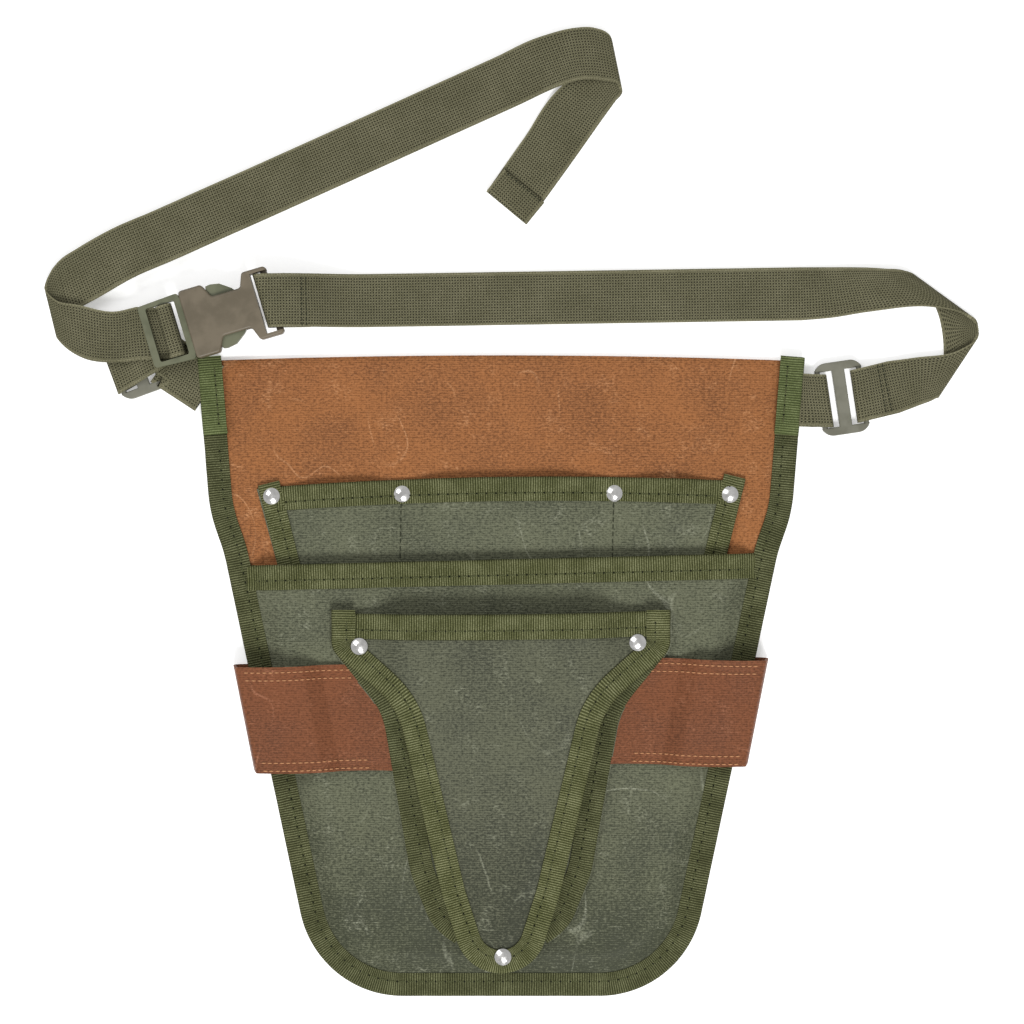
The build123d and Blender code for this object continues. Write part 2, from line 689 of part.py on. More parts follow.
# Right strap: a sewn loop on the slide, two flat folds, then across to the buckle's bar.
right_bar = along(RIGHT_SLIDE, BAR_OFFSET)
FOLD_1, FOLD_2 = RIGHT_FOLDS
right_course = heading(right_bar, FOLD_1)
END_LONG = 14.0
level_b_mid = LEVEL_B + WEB / 2
with BuildPart() as right_strap_end:
    add(
        webbing(
            right_bar,
            right_course,
            RIGHT_SLIDE[2] + 90,
            (
                (END_LONG - 3, LOOP_LOW),
                (-LOOP_MID, LOOP_LOW),
                (-LOOP_MID, LOOP_HIGH),
                (3.0, LOOP_HIGH),
                (9.0, level_b_mid),
                (END_LONG, level_b_mid),
            ),
            (LOOP_MID - 0.02, LOOP_MID - 0.02, 2.0, 2.0),
        )
    )
save(right_strap_end, "right_strap_end")

socket_bar = along(BUCKLE, SOCKET_BAR_X)
upper_course = heading(socket_bar, FOLD_2)
span = hypot(FOLD_2[0] - socket_bar[0], FOLD_2[1] - socket_bar[1])
wrap = SOCKET_BAR + 0.3 + WEB / 2
crease_1 = fold_line(right_bar, FOLD_1, FOLD_2)
crease_2 = fold_line(FOLD_1, FOLD_2, socket_bar)
level_a_mid = LEVEL_A + WEB / 2
strap_start = (
    right_bar[0] + (END_LONG + 0.4) * cos(radians(right_course)),
    right_bar[1] + (END_LONG + 0.4) * sin(radians(right_course)),
)
with BuildPart() as right_strap:
    add(
        webbing(
            socket_bar,
            upper_course,
            BUCKLE[2] + 90,
            (
                (14.0, BUCKLE_Z - wrap - 0.9),
                (-wrap, BUCKLE_Z - wrap),
                (-wrap, BUCKLE_Z + wrap + 1.4),
                (39.0, level_a_mid),
                (span - 34.0, level_a_mid),
                (span - 24.0, level_b_mid),
                (span + 30.0, level_b_mid),
            ),
            (wrap - 0.1, wrap - 0.1, 20.0, 10.0, 10.0),
        )
    )
    a = radians(crease_2)
    beyond = Plane(origin=(*FOLD_2, 0), x_dir=(0, 0, 1), z_dir=(sin(a), -cos(a), 0))
    split(bisect_by=beyond, keep=Keep.BOTTOM)
    add(flat_run(strap_start, FOLD_1, RIGHT_SLIDE[2] + 90, crease_1, LEVEL_B))
    add(flat_run(FOLD_1, FOLD_2, crease_1, crease_2, LEVEL_A))
    add(crease(FOLD_1, crease_1, right_course, LEVEL_A, LEVEL_B + WEB))
    add(crease(FOLD_2, crease_2, upper_course + 180, LEVEL_A, LEVEL_B + WEB))
save(right_strap, "right_strap")

# Left strap: a loop on the slide, over the clip's ladder bar, and a long folded tail.
left_bar = along(LEFT_SLIDE, -BAR_OFFSET)
inner_slot = along(BUCKLE, LADDER_BAR_X + LADDER_BAR + 0.95)
leg_long = hypot(inner_slot[0] - left_bar[0], inner_slot[1] - left_bar[1])
LEG_Z = LOOP_HIGH + WEB + PLY_GAP
with BuildPart() as left_strap_leg:
    add(
        webbing(
            left_bar,
            heading(left_bar, inner_slot),
            LEFT_SLIDE[2] + 90,
            (
                (11.0, LOOP_LOW),
                (-LOOP_MID, LOOP_LOW),
                (-LOOP_MID, LOOP_HIGH),
                (4.0, LOOP_HIGH),
                (12.0, LEG_Z),
                (leg_long - 4.0, LEG_Z),
                (leg_long - 1.0, FRAME_LOW - WEB / 2 - 0.3),
            ),
            (LOOP_MID - 0.02, LOOP_MID - 0.02, 2.0, 2.0, 1.5),
        )
    )
save(left_strap_leg, "left_strap_leg")

ladder_wrap = LADDER_BAR + 0.2 + WEB / 2
with BuildPart() as left_strap_wrap:
    add(
        webbing(
            along(BUCKLE, LADDER_BAR_X),
            BUCKLE[2],
            BUCKLE[2] + 90,
            (
                (-ladder_wrap, FRAME_LOW + 0.1),
                (-ladder_wrap, BUCKLE_Z + ladder_wrap),
                (ladder_wrap, BUCKLE_Z + ladder_wrap),
                (ladder_wrap, FRAME_LOW + 0.1),
            ),
            (ladder_wrap - 0.02, ladder_wrap - 0.02),
        )
    )
save(left_strap_wrap, "left_strap_wrap")

TAIL_Z = LEG_Z + WEB / 2 + PLY_GAP
tail_start = along(BUCKLE, LADDER_BAR_X - ladder_wrap - WEB / 2)
BEND_1, BEND_2, FOLD_3, TAIL_END = TAIL_ROUTE
crease_3 = fold_line(tail_start, BEND_1, BEND_2)
crease_4 = fold_line(BEND_1, BEND_2, FOLD_3)
crease_5 = fold_line(BEND_2, FOLD_3, TAIL_END)
tail_course = heading(BEND_2, FOLD_3)
tail_long = hypot(FOLD_3[0] - BEND_2[0], FOLD_3[1] - BEND_2[1])
TURN_Z = TAIL_Z - WEB - PLY_GAP
with BuildPart() as left_strap_tail:
    add(
        webbing(
            BEND_2,
            tail_course,
            tail_course + 90,
            (
                (-25.0, TAIL_Z + WEB / 2),
                (24.0, TAIL_Z + WEB / 2),
                (58.0, level_b_mid),
                (tail_long + 25.0, level_b_mid),
            ),
            (30.0, 30.0),
        )
    )
    for point, cut, keep in ((BEND_2, crease_4, Keep.TOP), (FOLD_3, crease_5, Keep.BOTTOM)):
        a = radians(cut)
        edge = Plane(origin=(*point, 0), x_dir=(0, 0, 1), z_dir=(sin(a), -cos(a), 0))
        split(bisect_by=edge, keep=keep)
    add(flat_run(tail_start, BEND_1, BUCKLE[2] + 90, crease_3, TAIL_Z))
    add(flat_run(BEND_1, BEND_2, crease_3, crease_4, TURN_Z))
    add(crease(BEND_1, crease_3, heading(BEND_1, BEND_2), TURN_Z, TAIL_Z + WEB))
    add(crease(BEND_2, crease_4, heading(BEND_1, BEND_2), TURN_Z, TAIL_Z + WEB))
    add(flat_run(FOLD_3, TAIL_END, crease_5, heading(FOLD_3, TAIL_END) + 90, LEVEL_A))
    add(crease(FOLD_3, crease_5, tail_course, LEVEL_A, LEVEL_B + WEB))
save(left_strap_tail, "left_strap_tail")
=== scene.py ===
"""Garden tool bag laid flat: its soft pieces, finishes, light and camera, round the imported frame.

Lengths are millimetres until a mesh is made, and metres in Blender.
"""

from math import atan2, ceil, cos, hypot, pi, radians, sin

import bpy
import numpy as np
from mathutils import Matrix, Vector


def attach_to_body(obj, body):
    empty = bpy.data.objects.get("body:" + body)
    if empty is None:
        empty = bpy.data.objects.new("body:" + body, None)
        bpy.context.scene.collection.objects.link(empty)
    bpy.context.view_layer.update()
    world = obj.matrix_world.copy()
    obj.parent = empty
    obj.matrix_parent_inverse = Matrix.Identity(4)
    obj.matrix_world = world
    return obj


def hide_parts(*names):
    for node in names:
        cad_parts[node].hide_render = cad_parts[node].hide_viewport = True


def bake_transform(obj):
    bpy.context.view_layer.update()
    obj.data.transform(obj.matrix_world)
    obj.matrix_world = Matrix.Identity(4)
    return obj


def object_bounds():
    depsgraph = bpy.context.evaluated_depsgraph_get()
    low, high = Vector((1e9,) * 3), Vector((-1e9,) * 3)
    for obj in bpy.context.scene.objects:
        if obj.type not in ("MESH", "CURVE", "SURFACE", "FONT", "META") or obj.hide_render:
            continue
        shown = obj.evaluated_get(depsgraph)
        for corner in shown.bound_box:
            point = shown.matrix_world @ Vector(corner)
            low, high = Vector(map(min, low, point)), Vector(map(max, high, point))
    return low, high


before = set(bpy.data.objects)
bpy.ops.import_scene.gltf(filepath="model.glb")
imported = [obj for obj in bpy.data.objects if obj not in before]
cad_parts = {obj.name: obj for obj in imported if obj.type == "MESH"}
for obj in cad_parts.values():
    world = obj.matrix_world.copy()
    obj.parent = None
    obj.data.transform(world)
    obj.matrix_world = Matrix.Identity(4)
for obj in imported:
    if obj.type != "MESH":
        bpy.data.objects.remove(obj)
cad_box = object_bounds()
scene = bpy.context.scene
MM = 0.001

# Cloth, tape and webbing.
CANVAS = 1.0
TAPE = 0.8
WEB = 1.5
WEB_WIDTH = 25.4

# Stitches: their pitch, length and radius.
TAPE_STITCH = (4.6, 3.3, 0.34)
LOOP_STITCH = (2.9, 2.0, 0.34)
POCKET_STITCH = (3.4, 2.4, 0.28)
WEB_STITCH = (2.4, 1.7, 0.26)

# Levels, as the frame has them.
BAG_Z = 1.0
BACK_Z = 1.8
POCKET_Z = 2.8
LOWER_Z = 9.0
LOWER_TOP = LOWER_Z + CANVAS
LOOP_Z = 15.0
EAR_Z = 12.7
MOUTH_Z = 22.0

# The bag's outline.
MID_X = -6.0
TOP_Y = 72.3
TOP_RISE = 3.0
BOTTOM_Y = -231.8
SIDE = ((145.4, TOP_Y), (139.5, 0.0), (132.5, -20.0), (87.6, BOTTOM_Y))
TAPE_JOINT_Y = 36.5
V_TIP_Y = -219.4
V_TALL = 172.4
EDGE_INSET = 1.2


# ---------------------------------------------------------------- shapes on paper


def noise(x, y, size, seed):
    """Smooth value noise from -1 to 1, with features of a size."""
    table = np.random.default_rng(seed).uniform(-1, 1, (64, 64))
    u, v = np.asarray(x) / size, np.asarray(y) / size
    i, j = np.floor(u).astype(int), np.floor(v).astype(int)
    a, b = u - i, v - j
    a, b = a * a * (3 - 2 * a), b * b * (3 - 2 * b)
    i0, i1, j0, j1 = i % 64, (i + 1) % 64, j % 64, (j + 1) % 64
    low = table[i0, j0] * (1 - a) + table[i1, j0] * a
    high = table[i0, j1] * (1 - a) + table[i1, j1] * a
    return low * (1 - b) + high * b


def ease(start, end, value):
    """Smooth step from 0 at start to 1 at end."""
    t = np.clip((np.asarray(value, float) - start) / (end - start), 0, 1)
    return t * t * (3 - 2 * t)


def rounded(points, radii, step=1.0):
    """A polyline with its inner corners rounded, as dense points."""
    points = [np.array(p, float) for p in points]
    out = [points[0]]
    for before, here, after, radius in zip(points, points[1:], points[2:], radii):
        a = (before - here) / np.linalg.norm(before - here)
        b = (after - here) / np.linalg.norm(after - here)
        half = np.arccos(np.clip(a @ b, -1, 1)) / 2
        if radius <= 0 or half > pi / 2 - 0.01:
            out.append(here)
            continue
        middle = (a + b) / np.linalg.norm(a + b)
        centre = here + middle * radius / sin(half)
        start, end = here + a * radius / np.tan(half), here + b * radius / np.tan(half)
        first, last = start - centre, end - centre
        sweep = pi - 2 * half
        for k in range(ceil(sweep * radius / step) + 3):
            t = k / (ceil(sweep * radius / step) + 2)
            out.append(centre + (first * sin((1 - t) * sweep) + last * sin(t * sweep)) / sin(sweep))
    out.append(points[-1])
    return resampled(np.array(out), step)


def lengths(path):
    """Distance along a path at each of its points."""
    return np.concatenate([[0], np.cumsum(np.linalg.norm(np.diff(path, axis=0), axis=1))])


def resampled(path, step):
    """The same path at even steps."""
    at = lengths(path)
    even = np.linspace(0, at[-1], max(3, ceil(at[-1] / step) + 1))
    return np.stack([np.interp(even, at, path[:, k]) for k in range(path.shape[1])], 1)


def left_normals(path):
    """Unit normals on the left of a flat path."""
    run = np.gradient(path[:, :2], axis=0)
    run /= np.linalg.norm(run, axis=1)[:, None]
    return np.stack([-run[:, 1], run[:, 0]], 1)


def both_sides(right):
    """A right-hand outline, top to bottom, as one path: left side down, right side up."""
    left = [(MID_X - half, y) for half, y in right]
    return left + [(MID_X + half, y) for half, y in reversed(right)]


def gap_to(path, x, y):
    """How far points lie from a path."""
    shape = np.shape(x)
    flat = np.stack([np.ravel(x), np.ravel(y)], 1)
    a, b = path[:-1], path[1:]
    run = b - a
    best = np.full(len(flat), 1e9)
    for start, along in zip(a, run):
        t = np.clip((flat - start) @ along / (along @ along), 0, 1)
        off = flat - start - t[:, None] * along
        best = np.minimum(best, off[:, 0] ** 2 + off[:, 1] ** 2)
    return np.sqrt(best).reshape(shape)


OUTLINE = rounded(both_sides(SIDE), (70, 70, 50, 50, 70, 70), 1.5)
OUTLINE_COARSE = resampled(OUTLINE, 6.0)
V_SIDE = ((80.5, -46.6), (80.5, -66.0), (49.0, -93.0), (28.0, -182.0), (16.0, V_TIP_Y))
V_LINE = rounded(both_sides(V_SIDE), (12, 36, 30, 22, 22, 30, 36, 12), 1.2)
GUSSET_SIDE = (
    (81.2, -47.0),
    (81.2, -65.0),
    (57.0, -95.0),
    (43.5, -172.0),
    (33.0, -198.0),
    (12.0, -213.0),
)
GUSSET_LINE = rounded(both_sides(GUSSET_SIDE), (10, 34, 50, 26, 6, 6, 26, 50, 34, 10), 1.2)


def half_of(line, y):
    """Half the width of an outline at a height."""
    right = line[line[:, 0] > MID_X]
    order = np.argsort(right[:, 1])
    return np.interp(y, right[order, 1], right[order, 0] - MID_X)


def upright(line):
    """Normals that point straight up, one for each point of a line."""
    return np.tile((0.0, 0.0, 1.0), (len(line), 1))


def level(height):
    """A flat surface at a height."""
    return lambda x, y: np.full(np.shape(x), height)


def lower_mouth(x):
    """The lower pocket's mouth, a little higher at the right."""
    return -22.6 + 0.0242 * (np.asarray(x) - MID_X)


def upper_mouth(x):
    """The upper pocket's mouth, slightly arched."""
    return 17.0 - 2.7e-4 * (np.asarray(x) - 20.0) ** 2


def holster_mouth(x):
    """The holster's mouth, sagging a little in its middle."""
    u = (np.asarray(x) - MID_X) / 80.0
    return -47.4 - 1.0 * (1 - u * u) + 0.7 * u


# ---------------------------------------------------------------- surfaces


def lower_top(x, y):
    """Top of the lower pocket's canvas."""
    gap = gap_to(OUTLINE_COARSE, x, y)
    rise = (LOWER_Z - POCKET_Z) * ease(9.0, 22.0, gap)
    dents = 0.55 * (1 + noise(x, y, 34.0, 3)) + 0.22 * (1 + noise(x, y, 12.0, 4))
    ridge = 0.5 * np.exp(-((noise(x, y, 40.0, 5) / 0.06) ** 2))
    return POCKET_Z + CANVAS + rise - (dents - ridge * 0.5) * ease(14.0, 30.0, gap) * 0.8


DIVIDERS = (-53.3, 48.3)
UPPER_HALF = 117.4
UPPER_TOP = 6.4
UPPER_FOOT_Y = -62.0


def upper_top(x, y):
    """Top of the upper pocket's canvas, three shallow compartments."""
    edges = (MID_X - UPPER_HALF + 11, *DIVIDERS, MID_X + UPPER_HALF - 11)
    across = np.zeros(np.shape(x))
    for left, right in zip(edges, edges[1:]):
        across = np.maximum(across, ease(left + 1, left + 24, x) * ease(right - 1, right - 24, x))
    along = ease(-24.0, 2.0, y)
    dents = 0.3 * (1 + noise(x, y, 17.0, 8))
    return POCKET_Z + CANVAS + (UPPER_TOP - POCKET_Z - dents) * (0.08 + 0.92 * across) * along


def holster_top(x, y):
    """Top of the holster's front: it stands proud at its mouth."""
    u = np.abs(np.asarray(x) - MID_X)
    across = EAR_Z + (MOUTH_Z - EAR_Z) * ease(64.0, 40.0, u)
    roof = EAR_Z + (MOUTH_Z - EAR_Z) * np.clip((np.asarray(y) - V_TIP_Y) / V_TALL, 0, 1)
    dents = 0.35 * (1 + noise(x, y, 28.0, 9)) + 0.12 * (1 + noise(x, y, 10.0, 10))
    soft = -np.log(np.exp(-across / 1.2) + np.exp(-roof / 1.2)) * 1.2
    return CANVAS + soft - dents * ease(0.0, 20.0, u - 8 + 30)


# ---------------------------------------------------------------- meshes


def quads(rows, cols, wrap=False):
    """Faces of a grid whose points run row by row."""
    i, j = np.meshgrid(np.arange(rows - 1), np.arange(cols if wrap else cols - 1), indexing="ij")
    k = (j + 1) % cols
    return np.stack([i * cols + j, i * cols + k, (i + 1) * cols + k, (i + 1) * cols + j], -1).reshape(-1, 4)


def build(name, points, faces, uv, material, sharp=50):
    """A mesh object from points in millimetres."""
    mesh = bpy.data.meshes.new(name)
    mesh.vertices.add(len(points))
    mesh.vertices.foreach_set("co", (np.asarray(points) * MM).astype(np.float32).ravel())
    mesh.loops.add(faces.size)
    mesh.loops.foreach_set("vertex_index", faces.astype(np.int32).ravel())
    mesh.polygons.add(len(faces))
    mesh.polygons.foreach_set("loop_start", np.arange(0, faces.size, 4, dtype=np.int32))
    mesh.polygons.foreach_set("use_smooth", np.ones(len(faces), bool))
    layer = mesh.uv_layers.new(name="UVMap")
    layer.uv.foreach_set("vector", (np.asarray(uv)[faces.ravel()] * MM).astype(np.float32).ravel())
    mesh.update(calc_edges=True)
    mesh.validate()
    mesh.materials.append(material)
    mesh.set_sharp_from_angle(angle=radians(sharp))
    made = bpy.data.objects.new(name, mesh)
    scene.collection.objects.link(made)
    return made


def grid_normals(grid):
    """Unit normals of a grid of points, upward at its first corner."""
    down, across = np.gradient(grid, axis=0), np.gradient(grid, axis=1)
    normal = np.cross(across, down)
    normal /= np.maximum(np.linalg.norm(normal, axis=2), 1e-9)[:, :, None]
    return normal if normal[1, 1, 2] > 0 else -normal


def slab(name, grid, uv, thick, material, centred=False):
    """A closed sheet of a thickness under a grid of points, or about it."""
    rows, cols = grid.shape[:2]
    normal = grid_normals(grid)
    top = grid + normal * (thick / 2 if centred else 0)
    under = top - normal * thick
    count = rows * cols
    points = np.concatenate([top.reshape(-1, 3), under.reshape(-1, 3)])
    face = quads(rows, cols)
    p = top.reshape(-1, 3)
    first = face[0]
    facing = np.cross(p[first[1]] - p[first[0]], p[first[3]] - p[first[0]])
    if facing @ normal[0, 0] < 0:
        face = face[:, ::-1]
    back = face[:, ::-1] + count
    rim = np.concatenate(
        [
            np.arange(cols),
            cols * np.arange(1, rows) + cols - 1,
            count - 2 - np.arange(cols - 1),
            cols * np.arange(rows - 2, 0, -1),
        ]
    )
    after = np.roll(rim, -1)
    wall = np.stack([rim, after, after + count, rim + count], 1)
    a, b, d = points[wall[0, 0]], points[wall[0, 1]], points[wall[0, 3]]
    out = points[wall[0, 0]] - points[wall[0, 0] + cols]
    if np.cross(b - a, d - a) @ out < 0:
        wall = wall[:, ::-1]
    uvs = np.asarray(uv).reshape(-1, 2)
    return build(name, points, np.concatenate([face, back, wall]), np.concatenate([uvs, uvs]), material)


def finish_piece(piece, body, *nodes):
    """Attach a piece to its body, in place of CAD nodes."""
    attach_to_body(piece, body)
    if nodes:
        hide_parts(*nodes)
    return piece


def grid_area(grid):
    """Area of a grid of points."""
    p, q, r, t = grid[:-1, :-1], grid[:-1, 1:], grid[1:, 1:], grid[1:, :-1]
    first = np.linalg.norm(np.cross(q - p, r - p), axis=2).sum()
    return (first + np.linalg.norm(np.cross(r - p, t - p), axis=2).sum()) / 2


def cloth_panel(name, plan, surface, points, material, node):
    """A canvas panel: plan(s, t) gives its outline, and surface its height."""
    across, down = points
    s, t = np.meshgrid(np.linspace(-1, 1, across), np.linspace(0, 1, down), indexing="xy")
    x, y = plan(s, t)
    grid = np.stack([x, y, surface(x, y)], -1)
    piece = slab(name, grid, np.stack([x, y], -1), CANVAS, material)
    finish_piece(piece, "bag", node)
    grid_area(grid) * MM * MM
    return piece


def pod(a, b, up, thick, tall):
    """A slim six-sided bead from one point to another, arched upwards: its points and faces."""
    ring, rings = 6, 5
    run = b - a
    size = np.linalg.norm(run)
    run = run / max(size, 1e-9)
    side = np.cross(up, run)
    points = []
    for k in range(rings):
        t = k / (rings - 1)
        swell = 0.25 + 0.75 * sin(pi * (0.12 + 0.76 * t))
        centre = a + run * size * t + up * (sin(pi * t) * tall)
        for m in range(ring):
            angle = 2 * pi * m / ring
            points.append(centre + swell * thick * (cos(angle) * side + sin(angle) * up))
    ends = np.array([[0, 1, 2, 3], [0, 3, 4, 5]])
    faces = (quads(rings, ring, wrap=True), ends[:, ::-1], ends + (rings - 1) * ring)
    return np.array(points), np.concatenate(faces)


def beads(name, pods, material):
    """Many pods as one mesh."""
    points = np.concatenate([made[0] for made in pods])
    faces = np.concatenate([made[1] + k * len(made[0]) for k, made in enumerate(pods)])
    return build(name, points, faces, points[:, :2], material, 80)


def stitches(name, path, normal, kind, material, seed, shaded_holes=None):
    """A row of thread stitches lying on a path, with a near-black bead of painted shade for the needle hole
    after each.
    """
    pitch, long, radius = kind
    at = lengths(path)
    rng = np.random.default_rng(seed)
    starts = np.arange(pitch * 0.5, at[-1] - pitch * 0.5, pitch)

    def spot(value):
        return np.array([np.interp(value, at, path[:, k]) for k in range(3)])

    def facing(value):
        n = np.array([np.interp(value, at, normal[:, k]) for k in range(3)])
        return n / np.linalg.norm(n)

    row = []
    for start in starts:
        shift = rng.uniform(-0.12, 0.12) * pitch * 0.3
        ends = spot(start + shift), spot(start + shift + long)
        row.append(pod(*ends, facing(start), radius, radius * 0.5))
    piece = beads(name, row, material)
    # Near-black beads between the stitches: painted shade standing for the needle holes.
    if shaded_holes is not None:
        row = []
        for start in starts:
            middle = start + long + (pitch - long) / 2
            up = facing(middle)
            ends = (spot(middle + side) - up * 0.05 for side in (-0.42, 0.42))
            row.append(pod(*ends, up, 0.55, 0.05))
        beads(name + "_holes", row, shaded_holes).parent = piece
    return piece


def tape(name, node, edge, sizes, front, back, material):
    """A stitched tape folded over an edge whose inside is on the path's left.

    Its sizes are its width in front, its stitches' distance from the edge, and its width behind.
    """
    width, stitch_at, back_width = sizes
    edge = resampled(edge, 1.6)
    inward = left_normals(edge)
    at = lengths(edge)
    front_d = (*np.linspace(width, stitch_at + 1.4, 4), *np.linspace(stitch_at + 0.7, 1.4, 7))
    rows, uvs = [], []
    ripple = 0.35 * noise(at, at * 0, 9.0, 21) + 0.2 * noise(at, at * 0, 3.6, 22)

    def at_gap(d):
        return edge[:, 0] + inward[:, 0] * d, edge[:, 1] + inward[:, 1] * d

    def row(d, z, v):
        rows.append(np.stack([*at_gap(d), z], 1))
        uvs.append(np.stack([at, np.full(len(at), v)], 1))

    for d in front_d:
        x, y = at_gap(d)
        dip = 0.06 * np.exp(-(((d - stitch_at) / 0.8) ** 2))
        lift = 0.35 * ease(width - 2.2, width, d) * (0.6 + ripple)
        row(d, front(x, y) + TAPE - dip + lift * 0.6 + 0.12 * ripple, width - d)
    x, y = at_gap(1.0)
    high, low = front(x, y) + TAPE + 0.12 * ripple, back(x, y)
    middle, half = (high + low) / 2, (high - low) / 2
    for a in np.linspace(0, pi, 7)[1:-1]:
        reach = np.minimum(half, 1.3)
        d = 1.3 - reach * np.sin(a) - 0.05 * ripple
        row(d, middle + half * np.cos(a), width + 2 * a / pi)
    for d in np.linspace(1.4, back_width, 5):
        x, y = at_gap(d)
        row(d, back(x, y), width + 2 + d)
    grid = np.stack(rows, 0)
    piece = slab(name, grid, np.stack(uvs, 0), TAPE, material)
    finish_piece(piece, "bag", node)
    grid_area(grid) / at[-1] * MM
    x, y = at_gap(stitch_at)
    line = np.stack([x, y, front(x, y) + TAPE - 0.16], 1)[2:-2]
    attach(stitches(name + "_stitches", line, upright(line), TAPE_STITCH, THREAD, 5, HOLE_SHADE), piece)


def attach(part, piece):
    """A part that goes wherever its piece goes."""
    part.parent = piece
    part.matrix_parent_inverse = piece.matrix_world.inverted()


def headed(angle):
    """Unit vector of a heading in degrees."""
    return np.array([cos(radians(angle)), sin(radians(angle))])


def heading(here, there):
    """Heading from one point to another, in degrees."""
    return np.degrees(atan2(there[1] - here[1], there[0] - here[0]))


def along(place, u, v=0.0):
    """A point in a turned frame (x, y, angle)."""
    return np.array(place[:2]) + u * headed(place[2]) + v * headed(place[2] + 90)


ACROSS_WEB = np.linspace(-WEB_WIDTH / 2, WEB_WIDTH / 2, 13)
MIDDLE = len(ACROSS_WEB) // 2


class Strip:
    """Webbing as a grid of points: rows along it, thirteen points across."""

    def __init__(self, grid):
        self.lay(grid)

    def lay(self, grid):
        """Take new points, and measure the webbing along its middle."""
        self.grid = grid
        self.s = lengths(grid[:, MIDDLE])

    def wrap(self, point, course, bar_heading, radius, after):
        """Go round a bar and straight back underneath. Returns where along it the turn starts."""
        run, cut = headed(course), headed(bar_heading)
        outward = run - (run @ cut) * cut
        outward /= np.linalg.norm(outward)
        flat = self.grid[:, :, :2]
        gap = ((flat - np.array(point)) @ outward) * (1 / (run @ outward))
        past = (gap > 0) & (self.s[:, None] >= after)
        angle = np.clip(gap / radius, 0, pi)
        bent = radius * np.sin(angle) - np.maximum(gap - pi * radius, 0)
        flat += np.where(past, bent - gap, 0.0)[:, :, None] * run
        self.grid[:, :, 2] -= np.where(past, radius * (1 - np.cos(angle)), 0.0)
        return self.s[np.argmax(past[:, MIDDLE])]

    def lift(self, values):
        """Raise the webbing by (distance along, height) pairs, eased between them."""
        where, high = zip(*values)
        t = np.interp(self.s, where, np.arange(len(where)))
        k = np.clip(t.astype(int), 0, len(where) - 2)
        f = t - k
        f = f * f * (3 - 2 * f)
        high = np.array(high)
        self.grid[:, :, 2] += (high[k] * (1 - f) + high[k + 1] * f)[:, None]

    def sway(self, size, depth, seed):
        """Slight waviness of webbing that has been used."""
        s, t = np.meshgrid(self.s, ACROSS_WEB, indexing="ij")
        self.grid[:, :, 2] += depth * (1 + noise(s, t, size, seed))

    def piece(self, name, body, nodes, rests_on, held="laid"):
        """The finished webbing, made as a closed sheet."""
        s, t = np.meshgrid(self.s, ACROSS_WEB, indexing="ij")
        made = slab(name, self.grid, np.stack([s, t], -1), WEB, WEBBING, centred=True)
        if body is None:
            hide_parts(*nodes)
        else:
            finish_piece(made, body, *nodes)
        return made

    def keep_to(self, end):
        """Cut the webbing off at a distance along it."""
        keep = self.s <= end
        self.grid, self.s = self.grid[keep], self.s[keep]

    def seam(self, name, at, seed):
        """A row of stitches across the webbing's upper face at a distance along it."""
        k = int(np.argmin(np.abs(self.s - at)))
        normal = grid_normals(self.grid)[k]
        normal = normal if normal[:, 2].mean() > 0 else -normal
        line = resampled(self.grid[k] + normal * (WEB / 2 + 0.05), 0.5)
        line = line[1:-1]
        up = np.tile(normal.mean(axis=0), (len(line), 1))
        return stitches(name, line, up, WEB_STITCH, DARK_THREAD, seed)


def routed(path, radii, across, length, step):
    """A strip laid along a route, run on straight at its end where it is longer."""
    path = np.array(path, float)
    dense = resampled(rounded(path, radii, 0.5), step)
    extra = max(0.0, length - lengths(dense)[-1])
    run = dense[-1] - dense[-2]
    run /= np.linalg.norm(run)
    dense = np.concatenate([dense, dense[-1] + run * np.arange(step, extra, step)[:, None]])
    at = lengths(dense)
    dense, at = dense[at <= length + 1e-6], at[at <= length + 1e-6]
    angle = np.radians(np.interp(at, lengths(path), across))
    reach = np.stack([np.cos(angle), np.sin(angle), 0 * angle], 1)
    return Strip(dense[:, None, :] + ACROSS_WEB[None, :, None] * reach[:, None, :])


def lofted(edges, step=0.8):
    """A grid of points through pairs of edge points, smooth along its length."""
    edges = np.array(edges, float)
    middle = edges.mean(axis=1)
    at = lengths(middle)
    slope = np.gradient(edges.reshape(len(edges), -1), at, axis=0)
    even = np.linspace(0, at[-1], ceil(at[-1] / step) + 1)
    k = np.clip(np.searchsorted(at, even, side="right") - 1, 0, len(at) - 2)
    gap = np.diff(at)
    t = (even - at[k])[:, None] / gap[k][:, None]
    out = np.minimum(gap[k], 2.5 * gap[np.maximum(k - 1, 0)])[:, None]
    into = np.minimum(gap[k], 2.5 * gap[np.minimum(k + 1, len(gap) - 1)])[:, None]
    flat = edges.reshape(len(edges), -1)
    curve = (
        (2 * t**3 - 3 * t**2 + 1) * flat[k]
        + (t**3 - 2 * t**2 + t) * out * slope[k]
        + (3 * t**2 - 2 * t**3) * flat[k + 1]
        + (t**3 - t**2) * into * slope[k + 1]
    )
    pair = curve.reshape(-1, 2, 3)
    share = np.linspace(0, 1, len(ACROSS_WEB))[None, :, None]
    return pair[:, :1] * (1 - share) + pair[:, 1:] * share


# ---------------------------------------------------------------- finishes


